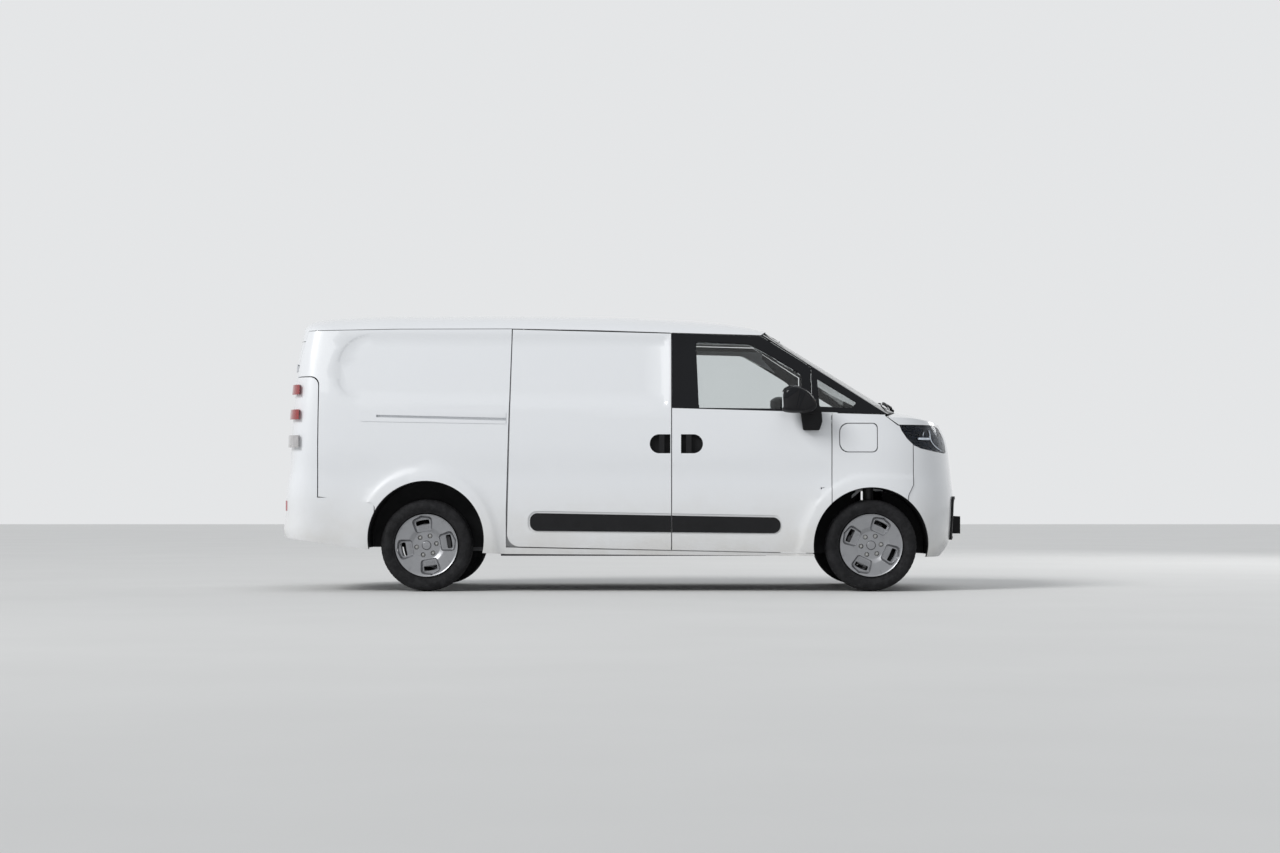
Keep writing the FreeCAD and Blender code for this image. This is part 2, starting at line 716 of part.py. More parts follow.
def lower_grille():
    """The grille in the front bumper: a raised frame, six bars and a plate plinth before a closed back."""
    opening = grille_zone(-size("seat_gap"))
    deep = walls(GRILLE_DEEP)
    raised = opening.cut(grille_zone(-GRILLE_FRAME)).common(walls(-GRILLE_PROUD, tail_body, True))
    bars = Part.makeCompound([Part.makeBox(700, 1040, BAR_HIGH, V(FRONT + 300, -520, BAR_LOW + i * BAR_PITCH))
                              for i in range(6)])
    plinth = Part.makeBox(90, 520, 124, V(FRONT + size("front_overhang") - 90, -260, BAR_LOW + 8))
    face = opening.common(walls(GRILLE_BACK, tail_body, True)).cut(deep)
    bars = bars.common(walls(1, tail_body, True)).cut(deep)
    return face.fuse([raised.cut(deep), bars, plinth.cut(deep)]).removeSplitter()


def rear_bumper():
    rear = TAIL + 236
    low = size("rear_door_bottom") - GAP
    block = walls(0, tail_bumper).cut(walls(50, tail_bumper))
    skirt_zone = [(BASE - 353 - GAP, 660 - GAP), (BASE - 353 - GAP, 300), (BASE - 394, 293), (-4220, 392), (-4400, 392),
                  (-4400, 660 - GAP)]
    skirt = across(skirt_zone).common(block)
    edge = size("rear_door_edge") + GAP / 2
    skirt = skirt.cut(box(-4400, TAIL + 120, -edge, edge, low, 1600))
    horn_zone = [(-4400, 640), (rear - GAP, 640), (rear - GAP, 1493, 60), (-4400, 1493)]
    horn = prism(horn_zone, -OUTSIDE, -edge).common(block)
    return skirt.fuse([horn, mirrored(horn)]).cut(ARCHES).removeSplitter()


def tail_lamps():
    """Three stacked lens blocks on each rear corner, standing proud of it."""
    lamps = []
    edge = size("rear_door_edge") + 12
    proud = walls(-24, tail_bumper, True)
    seat = walls(-size("seat_gap"), tail_bumper)
    for low, high in ((1373, 1442), (1199, 1268), (1002, 1088)):
        lens = box(TAIL - 80, TAIL + 96, -HALF - 40, -edge, low, high)
        lens = lens.common(proud).cut(seat)
        lamps += [lens, mirrored(lens)]
    return Part.makeCompound(lamps)


def rear_door():
    edge = size("rear_door_edge")
    block = Part.makeBox(200, edge - 4, RAIL_TOP - size("rear_door_bottom"),
                         V(FRONT + TAIL - 60, -edge, size("rear_door_bottom")))
    return block.common(SKIN).cut(LINING)


def glass(window, depth, grow=0):
    """A pane set behind its window's edge."""
    thickness = size("glass_thickness")
    pane = Part.Face(wire(window))
    if grow:
        pane = Part.Face(pane.makeOffset2D(grow).Wires[0])
    pane.translate(V(0, -OUTSIDE, 0))
    block = pane.extrude(V(0, OUTSIDE - 560, 0))
    return block.common(walls(depth)).cut(walls(depth + thickness))


# The pin of each door hinge lies a little inside the skin, behind the shut line.
DOOR_PIN_X = DOOR_FRONT - size("hinge_back")
DOOR_PIN_SLOPE = 0.048
DOOR_PIN_HEIGHTS = (700, 1110)
REAR_PIN_Y = size("rear_door_edge") - size("rear_hinge_back")
REAR_PIN_SLOPE = 0.0564
REAR_PIN_HEIGHTS = (950, 1560)
PILLAR_INSET = 95
PILLAR_FRONT, PILLAR_INNER = -300, 740


def door_pin(z):
    """A point on the hinge axis of the right front door."""
    return V(FRONT + DOOR_PIN_X, -(HALF - 2 - DOOR_PIN_SLOPE * (z - 640)), z)


def rear_pin(z):
    """A point on the hinge axis of the right rear door."""
    return V(REAR - (tail_body(1017) - 32) + REAR_PIN_SLOPE * (z - 1017), -REAR_PIN_Y, z)


def hinge(low, high, at, inward, ahead, back, reach, radius, tall, outside):
    """A pin with its arm on the body, and the notch and bores that take them in the door."""
    along = (high - low).normalize()
    spot = low + along * ((at - low.z) / along.z)
    bury = tall + 12
    pin = Part.makeCylinder(radius, 2 * bury, spot - along * bury, along)
    bore = Part.makeCylinder(radius + size("pin_clearance"), 2 * bury + 1, spot - along * (bury + 0.5), along)

    def block(start, end, before, after, tall):
        corner = spot + inward * start + ahead * before
        solid = Part.makeBox(abs(inward.x * (end - start) + ahead.x * (after - before)),
                             abs(inward.y * (end - start) + ahead.y * (after - before)), 2 * tall)
        far = spot + inward * end + ahead * after
        solid.translate(V(min(corner.x, far.x), min(corner.y, far.y), at - tall))
        return solid

    turning = Part.makeCylinder(radius + 0.8, 2 * tall + 12, spot - along * (tall + 6), along)
    fixed = pin.fuse(block(0, reach, -radius, radius, tall))
    cutter = block(-outside, reach + 20, -radius - 9, back + 30, tall + 6).fuse([bore, turning])
    return fixed, cutter


def door_hinges():
    found = [hinge(door_pin(600), door_pin(1200), z, V(0, 1, 0), V(1, 0, 0), size("hinge_back"), 110,
                   size("pin_radius"), 18, 7)
             for z in DOOR_PIN_HEIGHTS]
    return [f for f, _ in found], [c for _, c in found]


def rear_hinges():
    found = [hinge(rear_pin(600), rear_pin(1700), z, V(1, 0, 0), V(0, -1, 0), size("rear_hinge_back"), 115,
                   size("pin_radius"), 18, 16)
             for z in REAR_PIN_HEIGHTS]
    return [f for f, _ in found], [c for _, c in found]


BONNET_ARM_Y = 420


def bonnet_hinges():
    """Gooseneck arms under the bonnet's rear edge, with the brackets and pins that carry them."""
    x, z = size("bonnet_hinge_place"), size("bonnet_hinge_height")
    radius = 5
    outline = [(x - 10, z + 8, 6), (x + 10, z + 8, 6), (x + 18, z - 53), (x + 50, z - 75, 15), (x + 130, z - 75, 15),
               (x + 165, z - 30), (x + 165, z - 3), (x + 200, z - 7), (x + 200, z - 45), (x + 142, z - 103, 20),
               (x + 30, z - 103, 20), (x - 8, z - 60)]
    arm = prism(outline, -BONNET_ARM_Y - 5, -BONNET_ARM_Y + 5)
    bore = rod((FRONT + x, -BONNET_ARM_Y - 8, z), (FRONT + x, -BONNET_ARM_Y + 8, z), radius + size("pin_clearance"))
    pin = rod((FRONT + x, -BONNET_ARM_Y - 5, z), (FRONT + x, -BONNET_ARM_Y + 15, z), radius)
    bracket = box(x - 9, x + 9, -BONNET_ARM_Y + 7, -BONNET_ARM_Y + 15, z - 10, z + 18)
    notch = box(x - 30, x + 130, -BONNET_ARM_Y - 12, -BONNET_ARM_Y + 6.5, z, z + 20)
    return arm.cut(bore), pin.fuse(bracket), notch


FLAP_CENTRE = (-92, 1070)
FLAP_HALF = (128, 97)
FLAP_GAP = 6
FLAP_PIN_X = FLAP_CENTRE[0] + FLAP_HALF[0] - 30
FLAP_PIN_DEPTH = 9


def flap_hinge():
    """The two pins of the charge flap, on arms from the floor of its pocket."""
    y = -(skin(FRONT + FLAP_PIN_X, FLAP_CENTRE[1]) - FLAP_PIN_DEPTH)
    low, high = V(FRONT + FLAP_PIN_X, y, 1000), V(FRONT + FLAP_PIN_X, y, 1140)
    found = [hinge(low, high, z, V(0, 1, 0), V(1, 0, 0), 30, 43, 3, 7, 4) for z in (1040, 1100)]
    return [f for f, _ in found], [c for _, c in found]


def inner_frame():
    """Pillars, cant rail and inner sill of the right side, behind the doors' inner faces."""
    seat = WALL + size("seat_gap")
    ring = walls(seat).cut(walls(FRAME_INSET))
    outline = [(FRAME_REAR, 300), (FRAME_REAR, gutter(-2525) - 40), (-1394, gutter(-1394) - 40),
               (-700, gutter(-766) - 40), (-700, 1700), (-420, 1400), (-420, 272), (-1394, 290)]
    ring = prism(outline).common(ring)
    slider_hole = prism([(SLIDER_REAR + 55, 400, 90), (SLIDER_REAR + 80, 1740, 60), (SLIDER_FRONT - 60, 1730, 60),
                         (SLIDER_FRONT - 60, 400, 60)])
    door_hole = prism([(DOOR_REAR + 60, 400, 60), (DOOR_REAR + 60, 1735, 30), (-850, 1722, 60), (-300, 1440),
                       (-300, 400)])
    ring = ring.cut(slider_hole).cut(door_hole)
    ring = ring.cut(box(DOOR_REAR, -764, -OUTSIDE, -560, 200, 1900).cut(walls(WALL + GAP)))
    ring = ring.cut(box(-764, -300, -OUTSIDE, -560, 200, 1300).cut(walls(WALL + GAP)))
    pillar = box(-450, PILLAR_FRONT, -HALF, -PILLAR_INNER, 262, 1225).common(walls(PILLAR_INSET)).cut(ARCHES)
    pins, _ = door_hinges()
    rear_pins, _ = rear_hinges()
    foot = size("floor_height") - LOAD_COVER + size("seat_gap")
    post = prism([(-3976, foot), (-3974, 980), (-3926, 1480), (-3926, 1700), (-3886, 1700), (-3886, 1480),
                  (-3934, 980), (-3936, foot)], -HALF, -REAR_PIN_Y + 12)
    post = post.common(walls(seat))
    return ring.fuse([pillar] + pins), post.fuse(rear_pins)


FRAME_INSET = WALL + 50
LOAD_COVER = 4
COVER_MARGIN = 20
FRAME_REAR = SLIDER_REAR - 60


def platform():
    """Floors, rails and firewall of the body in one structure, with the raised cover of the load floor."""
    seat = size("seat_gap")
    inside = walls(WALL + seat)
    within_frame = walls(FRAME_INSET + seat)
    thick = size("floor_thickness")
    high = size("floor_height")
    cab = size("cab_floor_height")
    partition = -size("bulkhead_place")
    low = high - LOAD_COVER
    ahead = box(FRAME_REAR - 1, partition + 30, -OUTSIDE, OUTSIDE, high - thick, low).common(within_frame)
    load = box(-4400, FRAME_REAR - seat, -OUTSIDE, OUTSIDE, high - thick, low).common(inside).fuse(ahead)
    cover = box(TAIL + 145, partition - 45, -OUTSIDE, OUTSIDE, low - 2, high).common(walls(FRAME_INSET + COVER_MARGIN))
    load = load.fuse(cover)
    house = both(Part.makeCylinder(ARCH_R + COVER_MARGIN, OUTSIDE, V(REAR, 635, ARCH_TOP), V(0, 1, 0)))
    load = load.cut(house)
    foot = box(partition + 30, -415, -OUTSIDE, OUTSIDE, cab - 20, cab).common(walls(FRAME_INSET + 5))
    foot = foot.cut(both(box(-450 - seat, -400, -OUTSIDE, -PILLAR_INNER + seat, cab - 30, cab + 10)))
    step = box(partition, partition + 30, -HALF + 120, HALF - 120, cab - 20, low)
    slope = prism([(-425, cab), (-425, cab - 20), (-405, cab - 20), (-45, 700), (42, 860), (70, 1180), (50, 1180),
                   (22, 864), (-62, 708), (-414, cab)], -500, 500)
    rails = []
    for side in (-1, 1):
        rails.append(box(-700, 490, side * 470 - 35, side * 470 + 35, 300, cab - 20))
        rails.append(box(-2700, -620, side * 595 - 35, side * 595 + 35, 262, cab - 20))
        rails.append(box(-4040, -2620, side * 510 - 30, side * 510 + 30, cab - 20, high - thick))
    front_beam = box(440, 700, -500, 500, 300, 400).common(walls(45 + seat))
    rear_beam = box(-4400, -4030, -640, 640, 400, 480).common(walls(50 + seat, tail_bumper))
    risers = [box(-2640, -1480, side * 595 - 35, side * 595 + 35, cab - 20, high - thick) for side in (-1, 1)]
    shelf = box(-245, 500, -HALF, HALF, 800, 840).common(inside).cut(box(-420, 500, -540, 540, 790, 850))
    towers = [box(-110, 110, *sorted((side * 488, side * 543)), 700, 802) for side in (-1, 1)]
    wing = box(40, 70, -HALF, HALF, 740, 1180).common(walls(WALL + 8))
    crosses = [box(-700, -640, -630, 630, 300, cab - 20), box(-2700, -2640, -630, 630, 300, high - thick)]
    return load.fuse([foot, step, slope, front_beam, rear_beam, shelf, wing] + rails + risers + towers + crosses)


def bulkhead():
    place = -size("bulkhead_place")
    wall = box(place - 25, place, -OUTSIDE, OUTSIDE, size("floor_height"), 2100)
    return wall.common(walls(WALL + 51)).common(roof_block(size("roof_wall") + size("seat_gap")))


def arch_liners():
    """Half-round liners over all four wheels, closed on their inner side."""
    skin = walls(14)
    liners = []
    for x, z, inner in ((0, WHEEL_R, 505), (BASE, ARCH_TOP, 655)):
        centre = V(FRONT + x, -inner, z)
        out = V(0, -1, 0)
        outer = Part.makeCylinder(ARCH_R - 0.3, OUTSIDE, centre, out)
        hollow = Part.makeCylinder(ARCH_R - 6, OUTSIDE, centre + out * 5, out)
        liner = outer.cut(hollow).common(skin)
        liner = liner.cut(box(x - 600, x + 600, -OUTSIDE, 0, 0, z - 60))
        if x == 0:
            liner = liner.cut(box(-110, 110, -545, 0, 100, 800))
            liner = liner.cut(Part.makeCylinder(62, 400, V(FRONT, -STRUT_Y, 500)))
            liner = liner.cut(box(-ARCH_R - 20, DOOR_FRONT + 25, -OUTSIDE, -HALF + 92, 0, 1000))
        else:
            axle = Part.makeCylinder(AXLE_HOLE, 300, V(REAR, -inner + 100, WHEEL_R), V(0, -1, 0))
            liner = liner.cut([axle, box(x - AXLE_HOLE, x + AXLE_HOLE, -inner - 200, -inner + 100, 200, WHEEL_R)])
        liners += [liner, mirrored(liner)]
    return Part.makeCompound(liners)


AXLE_HOLE = 72
TRACK = size("wheel_track") / 2
KINGPIN = TRACK - size("kingpin_inset")
STRUT_Y = 590
BALL = 135
HUB_BOTTOM = 45
SPINDLE_END = HUB_BOTTOM - 0.3


def knuckle():
    """Hub carrier of the right front wheel with its spindle and steering arm."""
    radius = size("spindle_diameter") / 2
    spindle = rod((FRONT, -(TRACK + SPINDLE_END), WHEEL_R), (FRONT, -(TRACK - 60), WHEEL_R), radius)
    carrier = rod((FRONT, -(TRACK - 26), WHEEL_R), (FRONT, -(TRACK - 100), WHEEL_R), 56)
    upright = rod((FRONT, -KINGPIN, WHEEL_R - BALL), (FRONT, -KINGPIN, WHEEL_R + BALL), 22)
    arm = box(-130, 0, -(KINGPIN - 12), -(KINGPIN - 32), WHEEL_R - 40, WHEEL_R - 10)
    return spindle.fuse([carrier, upright, arm]).removeSplitter()


def front_suspension():
    """Cross member, wishbones and struts between the front wheels."""
    low = WHEEL_R - BALL - size("seat_gap")
    high = WHEEL_R + BALL + size("seat_gap")
    cross = box(-90, 90, -520, 520, low - 5, 299.7)
    solids = []
    for side in (-1, 1):
        lower = box(-30, 30, *sorted((side * 480, side * (KINGPIN + 20))), low - 25, low)
        upper = box(-30, 30, *sorted((side * 520, side * (KINGPIN + 20))), high, high + 25)
        tower = box(-60, 60, *sorted((side * 508, side * 545)), low - 5, high + 25)
        strut = rod((FRONT, side * STRUT_Y, low - 10), (FRONT, side * STRUT_Y, high + 10), 22)
        spring = rod((FRONT, side * STRUT_Y, high + 10), (FRONT, side * STRUT_Y, 799.7), 38)
        solids += [lower, upper, tower, strut, spring]
    return cross.fuse(solids).removeSplitter()


def rear_axle():
    """Beam with trailing arms and the two rear spindles."""
    z = WHEEL_R
    beam = rod((REAR, -(TRACK - 100), z), (REAR, TRACK - 100, z), 42)
    solids = []
    for side in (-1, 1):
        solids.append(rod((REAR, side * (TRACK + SPINDLE_END), z), (REAR, side * (TRACK - 110), z),
                          size("spindle_diameter") / 2))
        solids.append(rod((REAR, side * (TRACK - 26), z), (REAR, side * (TRACK - 110), z), 56))
        arm = prism([(BASE - 40, z - 30), (BASE - 40, z + 30), (-2700.3, 370), (-2700.3, 275)],
                    *sorted((side * 565, side * 625)))
        solids.append(arm)
    return beam.fuse(solids).removeSplitter()


def seat(side):
    """One front seat: cushion and raked backrest."""
    place = -size("bulkhead_place")
    low, high = sorted((side * 150, side * 650))
    cushion = prism([(place + 130, 700, 30), (place + 130, 820, 50), (place + 620, 850, 50), (place + 640, 700, 30)],
                    low, high)
    back = prism([(place + 150, 790, 20), (place + 40, 1420, 40), (place + 130, 1430, 40), (place + 245, 790, 20)],
                 low + 10, high - 10)
    return cushion.fuse(back)


def bound_box(name, sizes, place):
    """A box whose length, width, height and place follow the sheet."""
    made = doc.addObject("Part::Box", name)
    for prop, formula in zip(("Length", "Width", "Height"), sizes):
        made.setExpression(prop, formula)
    for axis, formula in zip("xyz", place):
        made.setExpression(f".Placement.Base.{axis}", formula)
    return made


FRONT_AXLE = "(Sizes.overall_length / 2 - Sizes.front_overhang)"


def battery_pack():
    made = bound_box("battery_pack", ("Sizes.battery_length", "Sizes.battery_width", "Sizes.battery_height"),
                     (f"{FRONT_AXLE} - Sizes.battery_front - Sizes.battery_length", "-Sizes.battery_width / 2",
                      "Sizes.battery_low"))
    parts.append(made)


def drive_unit():
    made = bound_box("drive_unit", ("Sizes.motor_length", "Sizes.motor_width", "Sizes.motor_height"),
                     (f"{FRONT_AXLE} + Sizes.motor_front - Sizes.motor_length", "-Sizes.motor_width / 2",
                      "Sizes.motor_low"))
    parts.append(made)


def seat_bases():
    sizes = ("Sizes.seat_base_length", "Sizes.seat_base_width",
             "Sizes.seat_height - Sizes.cab_floor_height - Sizes.seat_gap")
    bases = []
    for name, side in (("seat_base_left", ""), ("seat_base_right", "-")):
        middle = f"{side}Sizes.seat_place - Sizes.seat_base_width / 2"
        bases.append(bound_box(name, sizes, (f"{FRONT_AXLE} - Sizes.bulkhead_place + Sizes.seat_base_ahead", middle,
                                             "Sizes.cab_floor_height")))
    both_bases = doc.addObject("Part::Compound", "seat_bases")
    both_bases.Links = bases
    parts.append(both_bases)


STEER_Y = 380
STEER_CENTRE = (-560, 1080)
STEER_TILT = 28
COLUMN_RADIUS, COLUMN_END = 22, 270
SHROUD_RADIUS, SHROUD_START, SHROUD_END = 44, 95, 250


def steer_point(along):
    """A point on the steering column, so far ahead of the middle of the wheel."""
    tilt = math.radians(STEER_TILT)
    return (FRONT + STEER_CENTRE[0] + along * math.cos(tilt), STEER_Y, STEER_CENTRE[1] - along * math.sin(tilt))


def dashboard():
    """The full-width moulding under the windscreen, cut round the pillars, with the column's shroud."""
    outline = [(23.5, 885), (39.7, 1170, 20), (-60, 1195, 60), (-330, 1165, 60), (-380, 1080, 50), (-330, 900, 60),
               (-200, 868, 40)]
    block = prism(outline, -HALF + 60, HALF - 60).common(walls(WALL + 90))
    pillar = box(-470, PILLAR_FRONT + size("seat_gap"), -HALF, -PILLAR_INNER + size("seat_gap"), 200, 1300)
    block = block.cut([pillar, mirrored(pillar)])
    shroud = rod(steer_point(SHROUD_START), steer_point(SHROUD_END), SHROUD_RADIUS)
    bore = rod(steer_point(SHROUD_START - 1), steer_point(COLUMN_END + 20), COLUMN_RADIUS + size("seat_gap"))
    return block.fuse(shroud).cut(bore)



def steering_wheel():
    """Rim, three spokes and hub on a short column."""
    rim = Part.makeTorus(180, 15)
    hub = Part.makeCylinder(52, 34, V(0, 0, -50))
    column = Part.makeCylinder(COLUMN_RADIUS, COLUMN_END - 40, V(0, 0, -COLUMN_END))
    spokes = []
    for turn in (0, 180, 270):
        spoke = Part.makeBox(150, 34, 14, V(25, -17, -20))
        spoke.rotate(V(0, 0, 0), V(0, 0, 1), turn)
        spokes.append(spoke)
    wheel = rim.fuse(spokes + [hub, column])
    wheel.rotate(V(0, 0, 0), V(0, 1, 0), -(90 - STEER_TILT))
    wheel.translate(V(FRONT + STEER_CENTRE[0], STEER_Y, STEER_CENTRE[1]))
    return wheel


STRIP_REAR, STRIP_FRONT = -2376, -635
STRIP_LOW, STRIP_HIGH, STRIP_ROUND = 412, 528, 52
STRIP_BED, STRIP_MARGIN = 6, 15


def strip_zone(start, end, more=0):
    """The black strip along the lower side, or its wider bed; its ends are round where it stops."""
    def low(x):
        return STRIP_LOW - 0.01 * (x - DOOR_REAR) - more

    def high(x):
        return STRIP_HIGH - 0.018 * (x - DOOR_REAR) + more

    round_rear = STRIP_ROUND + more if start <= STRIP_REAR else 0
    round_front = STRIP_ROUND + more if end >= STRIP_FRONT else 0
    start -= more if round_rear else 0
    end += more if round_front else 0
    return prism([(start, low(start), round_rear), (start, high(start), round_rear),
                  (end, high(end), round_front), (end, low(end), round_front)])


def rub_strip(start, end):
    bed = walls(STRIP_BED - size("seat_gap"), tail_body, True)
    return strip_zone(start, end).common(walls(-1, tail_body, True)).cut(bed)


def strip_bed(start, end):
    return strip_zone(start, end, STRIP_MARGIN).cut(walls(STRIP_BED, tail_body, True))


MIRROR_REAR, MIRROR_LOW = -628, 1243
MIRROR_SHAPE = [(0, 20), (-3, 95), (6, 150), (50, 180), (115, 176), (180, 142), (226, 85), (236, 40), (205, 8),
                (130, -4), (50, -2)]
MIRROR_SECTIONS = [(30, 0.62), (52, 0.86), (90, 1.0), (150, 1.0), (190, 0.93), (214, 0.74)]
MIRROR_CENTRE = (118, 90)


def mirror_body():
    """Door mirror: a foot on the door below the waist and a rounded head on a short neck."""
    rings = []
    for out, share in MIRROR_SECTIONS:
        curve = Part.BSplineCurve()
        spots = [V(FRONT + MIRROR_REAR + MIRROR_CENTRE[0] + (u - MIRROR_CENTRE[0]) * share, -HALF - out,
                   MIRROR_LOW + MIRROR_CENTRE[1] + (v - MIRROR_CENTRE[1]) * share) for u, v in MIRROR_SHAPE]
        curve.interpolate(Points=spots, PeriodicFlag=True)
        rings.append(Part.Wire([curve.toShape()]))
    head = Part.makeLoft(rings, True, False)
    glass_recess = box(MIRROR_REAR - 40, MIRROR_REAR + 6, -HALF - 182, -HALF - 62, MIRROR_LOW + 28, MIRROR_LOW + 142)
    foot = prism([(-478, 1120, 12), (-496, 1262, 12), (-352, 1262, 12), (-346, 1180, 12), (-366, 1120, 12)],
                 -HALF - 42, -HALF + 60).cut(walls(-size("seat_gap")))
    neck = prism([(-505, 1235, 10), (-505, 1300, 10), (-400, 1300, 10), (-400, 1235, 10)], -HALF - 75, -HALF - 15)
    return head.cut(glass_recess).fuse([foot, neck])


def plane(body, role):
    return next(f for f in body.Origin.OriginFeatures if f.Role == role)


def sketch(body, name, role, offset=0):
    """A sketch on one of the body's own origin planes, moved along its normal."""
    made = body.newObject("Sketcher::SketchObject", name)
    made.AttachmentSupport = [(plane(body, role), "")]
    made.MapMode = "FlatFace"
    made.AttachmentOffset = FreeCAD.Placement(V(0, 0, offset), FreeCAD.Rotation())
    return made


def outline(drawing, points):
    """Draws a closed outline of lines through the points, (u, v) or (u, v, corner radius)."""
    first = len(drawing.Geometry)
    ends = []
    for i, point in enumerate(points):
        here = V(point[0], point[1], 0)
        radius = point[2] if len(point) > 2 else 0
        if radius == 0:
            ends.append((here, here, None))
            continue
        back = (V(*points[i - 1][:2], 0) - here).normalize()
        on = (V(*points[(i + 1) % len(points)][:2], 0) - here).normalize()
        half = back.getAngle(on) / 2
        centre = here + (back + on).normalize() * (radius / math.sin(half))
        arc = Part.Arc(here + back * (radius / math.tan(half)),
                       centre + (here - centre).normalize() * radius, here + on * (radius / math.tan(half)))
        ends.append((arc.StartPoint, arc.EndPoint, arc))
    pieces = []
    for i, (start, end, arc) in enumerate(ends):
        if arc is not None:
            pieces.append(arc)
        following = ends[(i + 1) % len(ends)][0]
        if end.distanceToPoint(following) > 0.001:
            pieces.append(Part.LineSegment(end, following))
    drawing.addGeometry(pieces, False)
    return first


def pocket(body, name, drawing, depth):
    """Cuts a sketch into the face of a wheel, towards its middle."""
    made = body.newObject("PartDesign::Pocket", name)
    made.Profile = drawing
    made.Length = depth
    made.Reversed = True
    doc.recompute()
    return made


def around(body, name, features, count):
    """Repeats features round the body's Y axis."""
    made = body.newObject("PartDesign::PolarPattern", name)
    made.Originals = features
    made.Axis = (plane(body, "Y_Axis"), [""])
    made.Angle = 360
    made.Occurrences = count
    body.Tip = made
    return made


WHEEL_FACE = 88
HUB_FACE = 66
BAY_FLOOR = 60
SLOT_CENTRE, SLOT_LONG, SLOT_WIDE = 161, 95, 37
NUT_CIRCLE, NUT_HOLE, NUT_DEPTH = 70, 16.5, 14
RIBS, RIB_PITCH, RIB_WIDE, RIB_HIGH = 5, 15, 5, 5


def rectangle(drawing, centre, wide, high, round_by=0):
    u, v = centre
    outline(drawing, [(u - wide / 2, v - high / 2, round_by), (u - wide / 2, v + high / 2, round_by),
                      (u + wide / 2, v + high / 2, round_by), (u + wide / 2, v - high / 2, round_by)])


def at_hub(body, x, side, turn):
    """Puts a wheel or tyre on its hub, its face outward and turned so far on its axle."""
    spin = FreeCAD.Rotation(V(0, 1, 0), turn)
    face = FreeCAD.Rotation(V(0, 0, 1), 180 if side < 0 else 0)
    body.Placement = FreeCAD.Placement(V(FRONT + x, side * TRACK, WHEEL_R), face.multiply(spin))
    parts.append(body)
    return body


def copied_wheel(label, first, x, side, turn):
    """A body that takes its shape from the first wheel."""
    body = doc.addObject("PartDesign::Body", label)
    base = doc.addObject("PartDesign::FeatureBase", label + "_copy")
    base.BaseFeature = first.Tip
    body.Group = [base]
    body.Tip = base
    doc.recompute()
    return at_hub(body, x, side, turn)


def wheel(label, x, side, turn):
    """A wheel with its full cover: four bays with slots and ribs, paddles between, nut holes and a cap."""
    body = doc.addObject("PartDesign::Body", label)
    flange = size("rim_diameter") / 2
    bore = size("spindle_diameter") / 2 + size("running_clearance")
    profile = sketch(body, label + "_profile", "XY_Plane")
    outline(profile, [(0, 72), (27, 72, 3), (31, HUB_FACE), (96, HUB_FACE, 20), (126, 79, 30),
                      (flange - 8, 84, 8), (flange, WHEEL_FACE), (flange, 82), (flange - 14, 78), (flange - 14, 52),
                      (flange - 32, 40), (flange - 32, -30), (flange - 14, -52), (flange - 14, -78), (flange, -82),
                      (flange, -88), (flange - 8, -88), (flange - 22, -80), (flange - 22, -56), (flange - 40, -36),
                      (flange - 40, 34), (150, 46), (105, 42), (88, 20), (88, -2), (150, -2), (150, -18),
                      (bore, -18), (bore, HUB_BOTTOM), (0, HUB_BOTTOM)])
    turned = body.newObject("PartDesign::Revolution", label + "_turned")
    turned.Profile = profile
    turned.ReferenceAxis = (profile, ["V_Axis"])
    turned.Angle = 360
    doc.recompute()

    mouth = sketch(body, label + "_bay_mouth", "XZ_Plane", -WHEEL_FACE)
    outline(mouth, [(-62, 82, 24), (-78, 190, 30), (0, 214), (78, 190, 30), (62, 82, 24)])
    floor = sketch(body, label + "_bay_floor", "XZ_Plane", -BAY_FLOOR)
    outline(floor, [(-46, 100, 14), (-58, 180, 20), (0, 196), (58, 180, 20), (46, 100, 14)])
    bay = body.newObject("PartDesign::SubtractiveLoft", label + "_bay")
    bay.Profile = mouth
    bay.Sections = [floor]
    bay.Ruled = True
    doc.recompute()
    around(body, label + "_bays", [bay], 4)

    slot = sketch(body, label + "_slot", "XZ_Plane", -WHEEL_FACE)
    rectangle(slot, (0, SLOT_CENTRE), SLOT_LONG, SLOT_WIDE, 8)
    around(body, label + "_slots", [pocket(body, label + "_slot_cut", slot, 2 * (WHEEL_FACE - BAY_FLOOR))], 4)

    hole = sketch(body, label + "_hole", "XZ_Plane", -HUB_FACE)
    hole.addGeometry(Part.Circle(V(NUT_CIRCLE, 0, 0), V(0, 0, 1), NUT_HOLE), False)
    around(body, label + "_holes", [pocket(body, label + "_hole_cut", hole, NUT_DEPTH)], 6)

    groove = sketch(body, label + "_groove", "XZ_Plane", -WHEEL_FACE)
    outline(groove, [(129, 133), (133, 129), (151, 147), (147, 151)])
    around(body, label + "_grooves", [pocket(body, label + "_groove_cut", groove, 8)], 4)

    rib = sketch(body, label + "_rib", "XZ_Plane", -BAY_FLOOR)
    for i in range(RIBS):
        rectangle(rib, ((i - (RIBS - 1) / 2) * RIB_PITCH, 125), RIB_WIDE, 30)
    ribs = body.newObject("PartDesign::Pad", label + "_rib_pad")
    ribs.Profile = rib
    ribs.Length = RIB_HIGH
    ribs.Reversed = True
    around(body, label + "_ribs", [ribs], 4)
    doc.recompute()
    return at_hub(body, x, side, turn)


